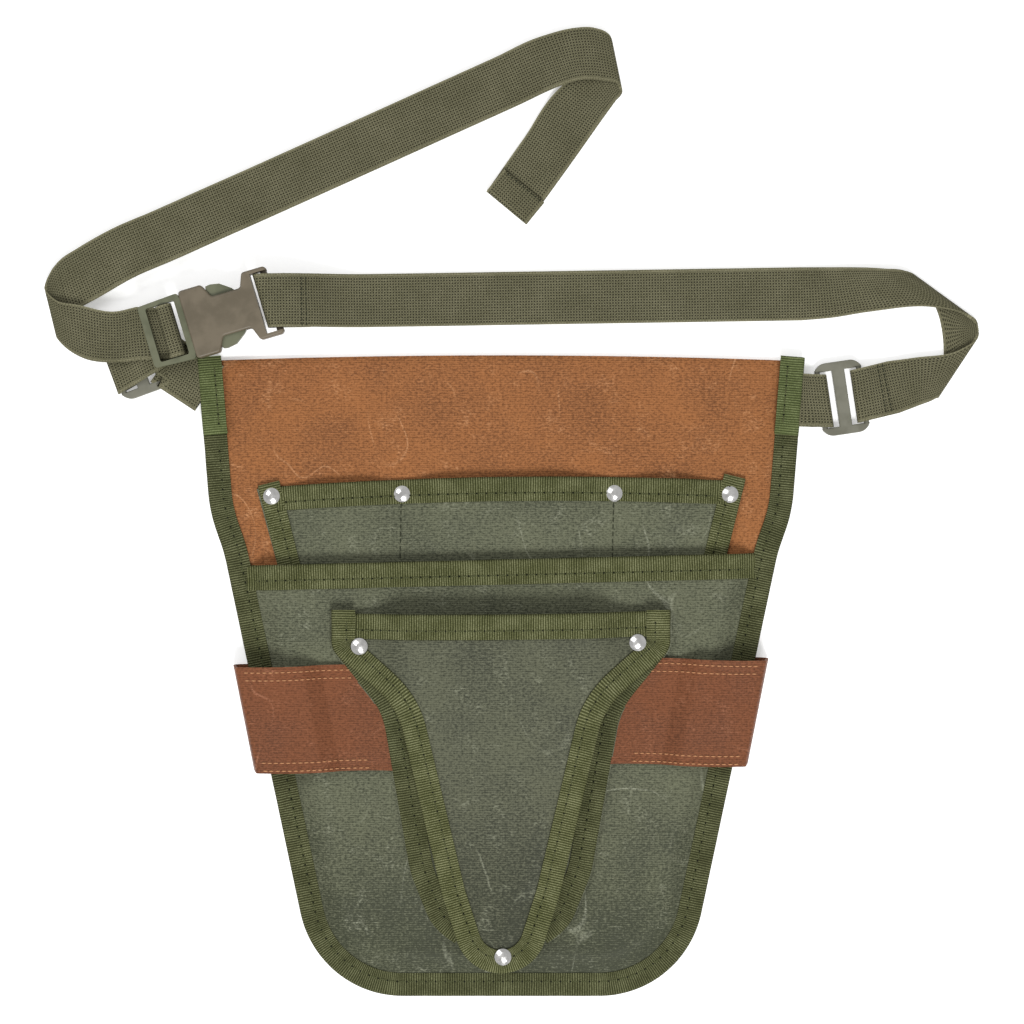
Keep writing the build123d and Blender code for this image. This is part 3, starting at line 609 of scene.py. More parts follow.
class Nodes:
    """Short hand for building a node material."""

    def __init__(self, name, rough, gloss=0.2, metal=0.0):
        self.material = bpy.data.materials.new(name)
        self.material.use_nodes = True
        self.tree = self.material.node_tree
        self.shader = self.tree.nodes["Principled BSDF"]
        self.shader.inputs["Roughness"].default_value = rough
        self.shader.inputs["Metallic"].default_value = metal
        self.shader.inputs["Specular IOR Level"].default_value = gloss

    def node(self, kind, inputs=(), **settings):
        """A node with its inputs set or linked."""
        made = self.tree.nodes.new(kind)
        for key, value in settings.items():
            setattr(made, key, value)
        for key, value in dict(inputs).items():
            if isinstance(value, bpy.types.NodeSocket):
                self.tree.links.new(value, made.inputs[key])
            else:
                made.inputs[key].default_value = value
        return made

    def sum(self, kind, a, b=0.0, c=0.0, clamp=False):
        """A maths node's result."""
        return self.node("ShaderNodeMath", {0: a, 1: b, 2: c}, operation=kind, use_clamp=clamp).outputs[0]

    def place(self, sx=1.0, sy=1.0, turn=0.0):
        """The piece's own flat coordinates in millimetres, scaled."""
        uv = self.node("ShaderNodeUVMap", uv_map="UVMap").outputs[0]
        size = (1000 * sx, 1000 * sy, 1000)
        return self.node("ShaderNodeMapping", {0: uv, "Scale": size, "Rotation": (0, 0, turn)}).outputs[0]

    def noise(self, at, scale, detail=3.0, rough=0.55, twist=0.0):
        """A noise texture's value."""
        inputs = {"Vector": at, "Scale": scale, "Detail": detail, "Roughness": rough, "Distortion": twist}
        return self.node("ShaderNodeTexNoise", inputs).outputs[0]

    def range(self, value, low, high, to_low=0.0, to_high=1.0):
        """A value mapped from one range to another, with soft ends."""
        inputs = {"Value": value, "From Min": low, "From Max": high, "To Min": to_low, "To Max": to_high}
        return self.node("ShaderNodeMapRange", inputs, interpolation_type="SMOOTHSTEP").outputs[0]

    def mix(self, share, a, b, kind="MIX"):
        """Two colours mixed."""
        made = self.node("ShaderNodeMix", data_type="RGBA", blend_type=kind)
        for index, value in ((0, share), (6, a), (7, b)):
            if isinstance(value, bpy.types.NodeSocket):
                self.tree.links.new(value, made.inputs[index])
            else:
                made.inputs[index].default_value = (*value, 1.0) if index > 0 else value
        return made.outputs[2]

    def finish(self, colour=None, height=None, depth=0.1, rough=None):
        """Plug in the colour, the relief and the roughness."""
        if colour is not None:
            self.tree.links.new(colour, self.shader.inputs["Base Color"])
        if rough is not None:
            self.tree.links.new(rough, self.shader.inputs["Roughness"])
        if height is not None:
            bump = self.node("ShaderNodeBump", {"Height": height, "Strength": 1.0, "Distance": depth * MM})
            self.tree.links.new(bump.outputs[0], self.shader.inputs["Normal"])
        return self.material


def waxed_canvas(name, dark, base, light, thread=1.05, fade=None):
    """Waxed canvas: weft lines, slubs, blotches, pale speckled rubs and a few creases."""
    n = Nodes(name, 0.72)
    at = n.place()
    split = n.node("ShaderNodeSeparateXYZ", {0: at})
    wander = n.noise(n.place(0.05, 0.25), 1.0, 2.0)
    row = n.sum("MULTIPLY_ADD", wander, 1.0, split.outputs[1])
    weft = n.sum("SINE", n.sum("MULTIPLY", row, 2 * pi / thread))
    warp = n.sum("SINE", n.sum("MULTIPLY", split.outputs[0], 2 * pi / (thread * 1.15)))
    slub = n.noise(n.place(0.38, 1.0), 1.0, 3.0, 0.65)
    grain = n.noise(n.place(0.8, 1.2), 0.9, 2.0, 0.75)
    blotch = n.noise(at, 0.030, 5.0, 0.6, 0.3)
    weave = n.sum("MULTIPLY", n.sum("MULTIPLY_ADD", warp, 0.3, weft), n.range(slub, 0.3, 0.62, 0.35, 1.0))
    tone = n.sum("MULTIPLY_ADD", slub, 0.6, n.sum("MULTIPLY", blotch, 0.5))
    tone = n.sum("MULTIPLY_ADD", grain, 1.25, tone)
    tone = n.sum("MULTIPLY_ADD", weave, 0.085, tone)
    if fade:
        tone = n.sum("ADD", tone, n.range(split.outputs[1], *fade, -0.22, 0.0))
    colour = n.mix(n.range(tone, 0.86, 1.40), dark, base)
    rub_field = n.noise(at, 0.075, 6.0, 0.75, 0.5)
    rub = n.sum("MULTIPLY", n.range(rub_field, 0.52, 0.70), n.range(slub, 0.40, 0.64))
    worn = n.noise(n.place(1.0, 0.6, 0.7), 0.034, 0.6, 0.5)
    ridge = n.sum("ABSOLUTE", n.sum("SUBTRACT", worn, 0.5))
    ridge_mask = n.range(n.noise(at, 0.02, 2.0), 0.5, 0.62)
    crease = n.sum("MULTIPLY", n.range(ridge, 0.010, 0.0), ridge_mask)
    pale = n.sum("MAXIMUM", n.sum("MULTIPLY", rub, 0.6), n.sum("MULTIPLY", crease, 0.55), clamp=True)
    pale = n.sum("MULTIPLY", pale, n.range(grain, 0.38, 0.62, 0.15, 1.0))
    colour = n.mix(pale, colour, light)
    height = n.sum("MULTIPLY_ADD", grain, 0.9, n.sum("MULTIPLY", weave, 0.4))
    height = n.sum("MULTIPLY_ADD", crease, 0.6, height)
    return n.finish(colour, height, 0.12, n.range(blotch, 0.3, 0.7, 0.62, 0.8))


def ribbed_tape(name, dark, base, light, rib=1.15):
    """Grosgrain tape: ribs across its length, and worn patches."""
    n = Nodes(name, 0.85, 0.12)
    at = n.place()
    split = n.node("ShaderNodeSeparateXYZ", {0: at})
    wander = n.noise(n.place(0.15, 0.12), 1.0, 2.0)
    run = n.sum("MULTIPLY_ADD", wander, 0.7, split.outputs[0])
    ribs = n.sum("SINE", n.sum("MULTIPLY", run, 2 * pi / rib))
    grain = n.noise(n.place(0.9, 2.2), 1.0, 2.0, 0.7)
    blotch = n.noise(at, 0.09, 3.0, 0.6)
    patch = n.sum("MULTIPLY_ADD", grain, 0.95, n.sum("MULTIPLY", blotch, 0.6))
    tone = n.sum("MULTIPLY_ADD", ribs, 0.30, patch)
    colour = n.mix(n.range(tone, 0.35, 0.95), dark, base)
    colour = n.mix(n.range(tone, 0.88, 1.25, 0.0, 0.9), colour, light)
    height = n.sum("MULTIPLY_ADD", grain, 0.4, ribs)
    return n.finish(colour, height, 0.12)


def woven_webbing(name, dark, base, light, pitch=1.35):
    """Webbing: a grid of pale floats with dark gaps of painted shade between them, and plain selvages."""
    n = Nodes(name, 0.8, 0.12)
    at = n.place()
    split = n.node("ShaderNodeSeparateXYZ", {0: at})
    wander = n.noise(n.place(0.08, 0.1), 1.0, 2.0)
    run = n.sum("MULTIPLY_ADD", wander, 0.7, split.outputs[0])
    u = n.sum("SINE", n.sum("MULTIPLY", run, 2 * pi / pitch))
    v = n.sum("SINE", n.sum("MULTIPLY", split.outputs[1], 2 * pi / (WEB_WIDTH / 19)))
    both = n.sum("MULTIPLY", n.sum("MULTIPLY_ADD", u, 0.5, 0.5), n.sum("MULTIPLY_ADD", v, 0.5, 0.5))
    inner = n.range(n.sum("ABSOLUTE", split.outputs[1]), WEB_WIDTH / 2 - 1.5, WEB_WIDTH / 2 - 0.9, 1.0, 0.0)
    # The dark gaps between the floats are painted shade in the weave's hollows.
    gap = n.sum("MULTIPLY", n.range(both, 0.12, 0.6), inner)
    lines = n.sum("MULTIPLY", n.sum("ADD", u, v), 0.10)
    grain = n.noise(n.place(2.0, 1.0), 1.3, 2.0, 0.6)
    blotch = n.noise(at, 0.05, 3.0, 0.6)
    tone = n.sum("MULTIPLY_ADD", grain, 1.2, n.sum("MULTIPLY_ADD", blotch, 0.35, lines))
    colour = n.mix(n.range(tone, 0.45, 1.1), base, light)
    colour = n.mix(n.sum("MULTIPLY", gap, 0.95), colour, dark)
    height = n.sum("SUBTRACT", n.sum("MULTIPLY", grain, 0.3), gap)
    return n.finish(colour, height, 0.18)


def thread(name, colour, rough=0.6):
    """Sewing thread, its twist showing."""
    n = Nodes(name, rough)
    at = n.place()
    split = n.node("ShaderNodeSeparateXYZ", {0: at})
    twist = n.sum("SINE", n.sum("MULTIPLY", n.sum("ADD", split.outputs[0], split.outputs[1]), 9.0))
    shade = n.range(twist, -1.0, 1.0, 0.0, 1.0)
    return n.finish(n.mix(shade, tuple(c * 0.7 for c in colour), colour), twist, 0.05)


def moulded(name, dark, base, rough, light=None):
    """Moulded plastic with a faint grain, and rubbed spots."""
    n = Nodes(name, rough, 0.4)
    at = n.node("ShaderNodeTexCoord").outputs["Object"]
    fine = n.noise(at, 2600.0, 2.0, 0.6)
    broad = n.noise(at, 90.0, 3.0, 0.6)
    colour = n.mix(n.range(broad, 0.35, 0.65), dark, base)
    colour = n.mix(n.range(fine, 0.62, 0.75, 0.0, 0.35), colour, light or base)
    return n.finish(colour, fine, 0.02, n.range(broad, 0.3, 0.7, rough - 0.06, rough + 0.08))


def plated(name, colour):
    """Polished plate with faint wear."""
    n = Nodes(name, 0.18, 0.5, 1.0)
    at = n.node("ShaderNodeTexCoord").outputs["Object"]
    broad = n.noise(at, 400.0, 3.0, 0.6)
    n.finish(n.mix(n.range(broad, 0.3, 0.7), tuple(c * 0.8 for c in colour), colour), broad, 0.02)
    return n.finish(rough=n.range(broad, 0.35, 0.7, 0.12, 0.3))


RUST = waxed_canvas("rust_canvas", (0.125, 0.045, 0.013), (0.300, 0.118, 0.040), (0.56, 0.30, 0.15))
LOOP = waxed_canvas("loop_canvas", (0.085, 0.029, 0.011), (0.178, 0.063, 0.027), (0.36, 0.16, 0.09))
GREEN = waxed_canvas(
    "green_canvas", (0.034, 0.038, 0.022), (0.122, 0.128, 0.081), (0.31, 0.32, 0.24), fade=(-230.0, -120.0)
)
HOLSTER = waxed_canvas(
    "holster_canvas", (0.028, 0.031, 0.019), (0.104, 0.108, 0.070), (0.29, 0.30, 0.22), fade=(-205.0, -120.0)
)
OLIVE = ribbed_tape("tape", (0.022, 0.025, 0.007), (0.088, 0.093, 0.036), (0.23, 0.235, 0.13))
# A darker copy of the olive tape. On the holster's outer bindings its darkness is painted shade, standing
# for the shadowed slit under the V tape's edge; the perimeter binding uses it too.
SHADED_TAPE = ribbed_tape("tape_shaded", (0.018, 0.020, 0.006), (0.067, 0.070, 0.030), (0.178, 0.186, 0.097))
FRESH = ribbed_tape("tape_fresh", (0.034, 0.044, 0.014), (0.092, 0.112, 0.040), (0.20, 0.23, 0.11))
# Its dark colour is the painted shade in the gaps between the floats.
WEBBING = woven_webbing("webbing", (0.014, 0.014, 0.006), (0.072, 0.069, 0.036), (0.20, 0.188, 0.118))
THREAD = thread("thread", (0.080, 0.088, 0.035))
RUST_THREAD = thread("rust_thread", (0.52, 0.25, 0.12))
DARK_THREAD = thread("dark_thread", (0.030, 0.034, 0.018))
# Painted shade: the near-black finish of the beads that stand for the needle holes.
HOLE_SHADE = thread("needle_hole_shade", (0.010, 0.012, 0.005), 0.9)
BUCKLE_PLASTIC = moulded("buckle_plastic", (0.098, 0.080, 0.052), (0.130, 0.106, 0.071), 0.45)
CLIP_PLASTIC = moulded("clip_plastic", (0.085, 0.090, 0.052), (0.115, 0.120, 0.072), 0.42)
SLIDE_PLASTIC = moulded("slide_plastic", (0.120, 0.118, 0.088), (0.155, 0.152, 0.118), 0.38)
NICKEL = plated("nickel", (0.80, 0.79, 0.77))

HARDWARE = {
    "rivet_caps": NICKEL,
    "rivet_shanks": NICKEL,
    "left_slide": SLIDE_PLASTIC,
    "right_slide": SLIDE_PLASTIC,
    "buckle_socket": BUCKLE_PLASTIC,
    "buckle_clip": CLIP_PLASTIC,
    "upper_prong": CLIP_PLASTIC,
    "lower_prong": CLIP_PLASTIC,
}
for node_name, material in HARDWARE.items():
    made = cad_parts[node_name]
    made.data.materials.clear()
    made.data.materials.append(material)
    if material is not NICKEL:
        bevel = made.modifiers.new("rounded_edges", "BEVEL")
        bevel.width = 0.45 * MM
        bevel.segments = 3
        bevel.limit_method = "ANGLE"
        bevel.angle_limit = radians(40)

# ---------------------------------------------------------------- back panel and its tapes


def whole_bag(s, t):
    """Plan of the back panel."""
    y = BOTTOM_Y + 1 + t * (TOP_Y - BOTTOM_Y - 1 + TOP_RISE * (1 - s * s) * 0.92)
    return MID_X + s * (half_of(OUTLINE, np.minimum(y, TOP_Y)) - EDGE_INSET), y


def back_top(x, y):
    """Top of the back panel's canvas, with its turned top hem."""
    top = TOP_Y + TOP_RISE * (1 - ((np.asarray(x) - MID_X) / 145.4) ** 2) * 0.92
    hem = 0.25 * ease(14.0, 12.5, top - y)
    waves = 0.22 * (1 + noise(x, y, 36.0, 31)) * ease(10.0, 40.0, gap_to(OUTLINE_COARSE, x, y))
    return BACK_Z + CANVAS + hem + waves - 0.9 * ease(1.4, 0.0, top - y)


back = cloth_panel(
    "back_panel_cloth", whole_bag, back_top, (140, 150), RUST, "back_panel"
)


def bag_side_front(x, y):
    """Top of what the perimeter tape lies on."""
    return POCKET_Z + CANVAS * ease(-12.0, -26.0, y) + 0.05 * noise(x, y, 15.0, 41)


def tab_front(x, y):
    """Top of what the short upper tapes lie on: the belt tabs' sewn ends."""
    return POCKET_Z + 0.9 + 2.15 * ease(TAPE_JOINT_Y, TAPE_JOINT_Y + 5.0, y)


tape(
    "perimeter_tape",
    "perimeter_binding",
    OUTLINE[(OUTLINE[:, 1] < TAPE_JOINT_Y + 2.0)],
    (11.3, 7.2, 10.5),
    bag_side_front,
    level(BAG_Z),
    SHADED_TAPE,
)

for side_name, sign in (("left", -1), ("right", 1)):
    part = OUTLINE[(OUTLINE[:, 1] > TAPE_JOINT_Y - 1.5) & ((OUTLINE[:, 0] - MID_X) * sign > 0)]
    top = part[np.argmax(part[:, 1])]
    rise = top + (part[-1] - part[0]) / np.linalg.norm(part[-1] - part[0]) * 1.5 * sign
    tape(
        f"upper_{side_name}_tape",
        f"upper_{side_name}_binding",
        np.vstack([part, rise] if sign > 0 else [rise, part]),
        (11.8, 8.2, 10.5),
        tab_front,
        level(BAG_Z),
        FRESH,
    )

# ---------------------------------------------------------------- pockets


def lower_plan(s, t):
    """Plan of the lower pocket."""
    y0 = BOTTOM_Y + 1
    half = half_of(OUTLINE, y0 + t * (lower_mouth(MID_X) - y0)) - EDGE_INSET
    x = MID_X + s * half
    return x, y0 + t * (lower_mouth(x) - 0.5 - y0)


lower = cloth_panel(
    "lower_pocket_cloth",
    lower_plan,
    lower_top,
    (150, 130),
    GREEN,
    "lower_pocket_panel",
)


def across_path(mouth, left, right):
    """A mouth's line, its pocket on the left of the path: from right to left."""
    x = np.linspace(right, left, 160)
    return np.stack([x, mouth(x)], 1)


def under(surface, drop):
    """A surface lowered to the tape's back ply."""
    return lambda x, y: surface(x, y) - drop


tape(
    "lower_pocket_mouth_tape",
    "lower_pocket_top_binding",
    across_path(lower_mouth, -127.5, 115.5),
    (12.0, 7.6, 11.0),
    lower_top,
    under(lower_top, CANVAS + TAPE),
    OLIVE,
)


def upper_side(y):
    """Half-width of the upper pocket, leaning in as it goes down."""
    return UPPER_HALF - 9.6 * (15.0 - y) / 38.5


def upper_plan(s, t):
    """Plan of the upper pocket."""
    y = UPPER_FOOT_Y + t * (upper_mouth(MID_X) - UPPER_FOOT_Y)
    x = MID_X + s * (upper_side(y) - 1.0)
    return x, UPPER_FOOT_Y + t * (upper_mouth(x) - 0.5 - UPPER_FOOT_Y)


upper = cloth_panel(
    "upper_pocket_cloth",
    upper_plan,
    upper_top,
    (170, 60),
    GREEN,
    "upper_pocket_panel",
)

for k, divider in enumerate(DIVIDERS):
    y = np.linspace(6.0, -22.0, 60)
    x = divider - 0.4 + 0.02 * (y - 6.0)
    line = np.stack([x, y, upper_top(x, y) + 0.05], 1)
    row = stitches(f"divider_stitches_{k}", line, upright(line), POCKET_STITCH, DARK_THREAD, 51 + k)
    attach(row, upper)

for side_name, sign in (("left", -1), ("right", 1)):
    top = upper_mouth(MID_X + sign * UPPER_HALF) + 0.9
    y = np.linspace(top, -30.0, 40) if sign < 0 else np.linspace(-30.0, top, 40)
    line = np.stack([MID_X + sign * upper_side(y), y], 1)
    tape(
        f"upper_pocket_{side_name}_tape",
        f"upper_pocket_{side_name}_binding",
        line,
        (11.0, 7.0, 3.0),
        upper_top,
        under(upper_top, CANVAS),
        OLIVE,
    )
tape(
    "upper_pocket_mouth_tape",
    "upper_pocket_top_binding",
    across_path(upper_mouth, MID_X - UPPER_HALF + 9.5, MID_X + UPPER_HALF - 9.5),
    (11.6, 7.8, 10.0),
    upper_top,
    under(upper_top, CANVAS + TAPE),
    OLIVE,
)

# ---------------------------------------------------------------- holster


def holster_plan(s, t):
    """Plan of the holster's front."""
    y0 = V_TIP_Y + EDGE_INSET
    y = y0 + t * (-48.5 - y0)
    x = MID_X + s * (half_of(V_LINE, y) - EDGE_INSET)
    return x, y0 + t * (holster_mouth(x) - 0.6 - y0)


cloth_panel(
    "holster_cloth",
    holster_plan,
    holster_top,
    (90, 110),
    HOLSTER,
    "holster_front_panel",
)


def over_mouth(x, y):
    """Top of what the V's tape lies on: the holster's canvas, and the ends of its mouth tape."""
    return holster_top(x, y) + 1.1 * ease(-64.0, -58.0, y)


tape(
    "holster_edge_tape",
    "holster_v_binding",
    V_LINE,
    (11.3, 7.2, 10.0),
    over_mouth,
    under(holster_top, CANVAS + TAPE),
    OLIVE,
)
tape(
    "holster_mouth_tape",
    "holster_top_binding",
    across_path(holster_mouth, MID_X - 78.0, MID_X + 78.0),
    (12.0, 7.8, 11.0),
    under(holster_top, -0.2),
    under(holster_top, CANVAS + TAPE),
    OLIVE,
)

# Gussets: a flange sewn to the pocket, and a wall that rises to the front's edge.
SEAM_Z = LOWER_TOP + CANVAS
FLANGE = ((0.0, 0.0), (0.35, 0.0), (0.7, 0.05), (0.92, 0.2))
WALL_STEPS = 4
for side_name, sign in (("left", -1), ("right", 1)):
    side_gap = (GUSSET_LINE[:, 0] - MID_X) * sign
    outer = GUSSET_LINE[(side_gap > 4) & (GUSSET_LINE[:, 1] > -205.0)]
    outer = outer if sign < 0 else outer[::-1]
    outer = resampled(outer, lengths(outer)[-1] / 150)
    y_at = outer[:, 1]
    foot = np.stack([MID_X + sign * (half_of(V_LINE, np.maximum(y_at, -214.0)) - 4.5), y_at], 1)
    roof = holster_top(foot[:, 0], foot[:, 1]) - CANVAS - TAPE - 0.3
    rows = []
    for share, height in FLANGE:
        flat = outer + (foot - outer) * share
        rows.append(np.stack([flat[:, 0], flat[:, 1], np.full(len(flat), SEAM_Z + height)], 1))
    for step in range(1, WALL_STEPS + 1):
        rows.append(np.stack([foot[:, 0], foot[:, 1], SEAM_Z + (roof - SEAM_Z) * (step / WALL_STEPS)], 1))
    grid = np.stack(rows, 0)
    uv = np.stack([grid[:, :, 0], grid[:, :, 1] + grid[:, :, 2]], -1)
    gusset = slab(f"holster_{side_name}_gusset_cloth", grid, uv, CANVAS, GREEN)
    finish_piece(gusset, "bag", f"holster_{side_name}_gusset")
    seam = lengths(outer)[-1]
    grid_area(grid) / seam * MM
    # The outer bindings take the darker tape: painted shade for the slit under the V tape's edge.
    tape(
        f"holster_{side_name}_outer_tape",
        f"holster_{side_name}_outer_binding",
        GUSSET_LINE[(side_gap > 14) & (GUSSET_LINE[:, 1] > -206.0)],
        (11.5, 7.0, 2.5),
        level(SEAM_Z),
        level(LOWER_TOP + 0.05),
        SHADED_TAPE,
    )

# ---------------------------------------------------------------- tool loops

for side_name, sign, loop_y in (("left", -1, -73.2), ("right", 1, -70.0)):
    profile = rounded(
        [
            (50.0, LOWER_TOP + 0.5),
            (86.0, LOWER_TOP + 0.5),
            (95.0, LOOP_Z + 0.5),
            (125.5, LOOP_Z + 0.5),
            (128.0, 0.5),
            (94.0, 0.5),
        ],
        (3.0, 3.0, 2.0, 1.5),
        1.0,
    )
    run = lengths(profile)
    down = np.linspace(0, 1, 41)
    s, t = np.meshgrid(run, down, indexing="ij")
    reach = np.interp(s, run, profile[:, 0])
    height = np.interp(s, run, profile[:, 1])
    x = MID_X + sign * reach - sign * 10.0 * t
    y = loop_y - 50.4 * t + 0.6 * np.sin(s / 14.0)
    wave = 0.35 * noise(s, t * 50, 14.0, 61 + sign) * ease(0.0, 0.12, t) * ease(1.0, 0.88, t)
    z = height + np.where(height > 8, wave, 0.0) + 0.25 * ease(0.08, 0.0, t) + 0.25 * ease(0.92, 1.0, t)
    grid = np.stack([x, y, z], -1)
    loop = slab(f"{side_name}_loop_cloth", grid, np.stack([x, y], -1), CANVAS, LOOP, centred=True)
    finish_piece(loop, "bag", f"{side_name}_tool_loop")
    area = grid_area(grid) * MM * MM
    normal = grid_normals(grid)
    shown = (run > 20) & (run < run[-1] - 48)
    for k, t_at in enumerate((2, 5, 36, 39)):
        line, up = (grid + normal * 0.55)[shown, t_at], normal[shown, t_at]
        row = stitches(f"{side_name}_loop_stitches_{k}", line, up, LOOP_STITCH, RUST_THREAD, 70 + k)
        attach(row, loop)

# ---------------------------------------------------------------- belt

RIGHT_SLIDE = (157.2, 54.7, 8.4)
LEFT_SLIDE = (-181.5, 73.0, 20.0)
BUCKLE = (-154.9, 88.7, 16.6)
BAR_OFFSET = 10.0
SLIDE_BAR_Z = 3.05
LOOP_MID = 2.28
LOOP_IN = 3.6
BUCKLE_Z = 11.5
SOCKET_BAR_X = 41.7
BAR_TURN = 3.0
LADDER_BAR_X = -9.3
ON_FLOOR = 0.85
ON_STRAP = 2.5
LOOP_BEND = LOOP_MID - 0.05
LOOP_LOW, LOOP_HIGH = SLIDE_BAR_Z - LOOP_MID, SLIDE_BAR_Z + LOOP_MID

# Tabs round the slides' near bars.
for side_name, slide, side, root in (
    ("left", LEFT_SLIDE, -1, (-145.5, 59.0)),
    ("right", RIGHT_SLIDE, 1, (127.0, 54.0)),
):
    bar = along(slide, -side * BAR_OFFSET)
    course = heading(bar, root)
    out = headed(course)
    far = hypot(root[0] - bar[0], root[1] - bar[1])
    low, high = POCKET_Z + WEB / 2, POCKET_Z + 1.5 * WEB + 0.1
    route = (
        (far, low),
        (6.5, low),
        (3.5, LOOP_LOW),
        (-LOOP_IN, LOOP_LOW),
        (-LOOP_IN, LOOP_HIGH),
        (2.5, LOOP_HIGH),
        (8.0, high),
        (far, high),
    )
    path = [(*(bar + out * u), z) for u, z in route]
    square = course - 90 if course > 0 else course + 90
    bar_heading = slide[2] + 90
    if abs(square - bar_heading) > 90:
        square += 180
    across = (square, square, bar_heading, bar_heading, bar_heading, bar_heading, square, square)
    total = lengths(np.array(path))[-1] - 1.5
    belt_tab = routed(path, (1, 1, LOOP_BEND, LOOP_BEND, 2, 2), across, total, 0.6)
    belt_tab.piece(f"{side_name}_tab_webbing", "bag", [f"{side_name}_tab"], [back])

# Right strap: a sewn loop on the slide, two soft folds, across to the buckle and round its bar.
right_bar = along(RIGHT_SLIDE, BAR_OFFSET)
right_course = heading(right_bar, (211.6, 67.2))
right_run = headed(right_course)
right_across = RIGHT_SLIDE[2] + 90
right_route = (
    (12.0, LOOP_LOW),
    (-LOOP_IN, LOOP_LOW),
    (-LOOP_IN, LOOP_HIGH),
    (3.0, LOOP_HIGH),
    (14.0, ON_STRAP),
    (30.0, ON_STRAP),
)
slide_end = routed(
    [(*(right_bar + right_run * u), z) for u, z in right_route],
    (LOOP_BEND, LOOP_BEND, 2.0, 3.0),
    (*(right_across,) * 4, right_course + 90, right_course + 90),
    38.0,
    0.7,
)

# It curls round at the far right: pairs of points, one on each edge.
socket_bar = along(BUCKLE, SOCKET_BAR_X)
STRAP_START = np.array((138.0, 104.6))
strap_heading = heading(STRAP_START, socket_bar)
strap_side = headed(strap_heading + 90) * WEB_WIDTH / 2
right_curl = lofted(
    (
        (slide_end.grid[-1, 0], slide_end.grid[-1, -1]),
        ((194.0, 51.0, 2.6), (192.6, 74.0, 3.2)),
        ((201.0, 53.8, 2.8), (213.0, 77.4, 3.0)),
        ((203.2, 55.4, 2.6), (220.4, 81.8, 2.6)),
        ((204.2, 57.4, 1.8), (222.2, 84.2, 1.8)),
        ((204.4, 60.4, 1.1), (222.8, 85.8, 1.1)),
        ((206.4, 77.0, 0.9), (223.0, 87.2, 0.9)),
        ((203.0, 97.0, 0.9), (222.8, 88.6, 0.9)),
        ((195.0, 110.4, 1.0), (222.4, 90.2, 1.0)),
        ((191.0, 113.8, 1.8), (221.2, 91.8, 1.8)),
        ((186.0, 115.6, 2.8), (216.8, 94.4, 2.8)),
        ((177.0, 116.6, 2.8), (200.5, 98.2, 3.4)),
        ((163.0, 117.2, 2.2), (171.0, 96.0, 2.8)),
        ((150.0, 117.3, 1.4), (153.0, 93.2, 1.6)),
        ((*(STRAP_START - strap_side), ON_FLOOR), (*(STRAP_START + strap_side), ON_FLOOR)),
    )
)
right_cut = int(np.argmax((right_curl[:, MIDDLE, 2] < 1.2) & (right_curl[:, MIDDLE, 0] > 208.0)))
slide_end.lay(np.concatenate([slide_end.grid, right_curl[1 : right_cut + 2]]))
slide_end_web = slide_end.piece("right_strap_slide_end", None, ["right_strap_end"], [])
seams = [slide_end.seam("right_slide_seam_1", 31.5, 91), slide_end.seam("right_slide_seam_2", 34.0, 92)]
for made in (slide_end_web, *seams):
    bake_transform(made)

strap = routed(
    [(*STRAP_START, ON_FLOOR), (*(STRAP_START + headed(strap_heading) * 30), ON_FLOOR)],
    (),
    (strap_heading + 90, strap_heading + 90),
    310.0,
    1.0,
)
to_bar = hypot(*(socket_bar - STRAP_START))
over_bar = BUCKLE_Z + BAR_TURN - ON_FLOOR
strap.lift(((0.0, 0.0), (to_bar - 46.0, 0.0), (to_bar - 3.0, over_bar), (500.0, over_bar)))
turn_at = strap.wrap(
    along(BUCKLE, SOCKET_BAR_X - 1.8), strap_heading, BUCKLE[2] + 90, BAR_TURN, to_bar - 40
)
strap.keep_to(turn_at + pi * BAR_TURN + 13.0)
strap.sway(30.0, 0.25, 81)
head = right_curl[right_cut:-1]
strap.lay(np.concatenate([head, strap.grid]))
seam_at = to_bar + strap.s[len(head)]
upper_strap = strap.piece("right_strap_webbing", "bag", ["right_strap"], [])
attach(strap.seam("right_strap_seam_1", seam_at - 12.2, 93), upper_strap)
attach(strap.seam("right_strap_seam_2", seam_at - 14.4, 94), upper_strap)

# Left strap: a loop on the slide, over the clip's ladder bar, and back to the first bend.
left_bar = along(LEFT_SLIDE, -BAR_OFFSET)
slot_in = along(BUCKLE, LADDER_BAR_X + 3.6)
slot_out = along(BUCKLE, LADDER_BAR_X - 2.5)
leg = headed(heading(left_bar, slot_in))
LEG_Z = LOOP_HIGH + WEB + 0.1
TAIL_Z = 8.4
TAIL_COURSE = 181.0
away = headed(TAIL_COURSE)
left_square, ladder_square = LEFT_SLIDE[2] + 90, BUCKLE[2] + 90
points = (
    (*(left_bar + leg * 11), LOOP_LOW, left_square),
    (*(left_bar - leg * LOOP_MID), LOOP_LOW, left_square),
    (*(left_bar - leg * LOOP_MID), LOOP_HIGH, left_square),
    (*(left_bar + leg * 5), LOOP_HIGH, left_square + 2),
    (*(left_bar + leg * 13), LEG_Z, ladder_square + 2),
    (*slot_in, LEG_Z, ladder_square),
    (*slot_in, BUCKLE_Z + 2.5, ladder_square),
    (*slot_out, BUCKLE_Z + 2.5, ladder_square),
    (*slot_out, TAIL_Z, ladder_square),
    (*(slot_out + away * 10), TAIL_Z, TAIL_COURSE - 90),
    (*(slot_out + away * 14), TAIL_Z, TAIL_COURSE - 90),
)
left_path = [p[:3] for p in points]
left_radii = (LOOP_BEND, LOOP_BEND, 2, 2, 1.2, 2.3, 2.3, 0.9, 3, 3)
left_strap = routed(left_path, left_radii, [p[3] for p in points], 200.0, 0.7)
left_strap.keep_to(lengths(np.array(left_path))[-1] - 6.0)

# The free end curls under at the far left: pairs of points, one on each edge.
TAIL_START = np.array((-168.0, 131.9))
TAIL_TURN = np.array((-4.0, 205.9))


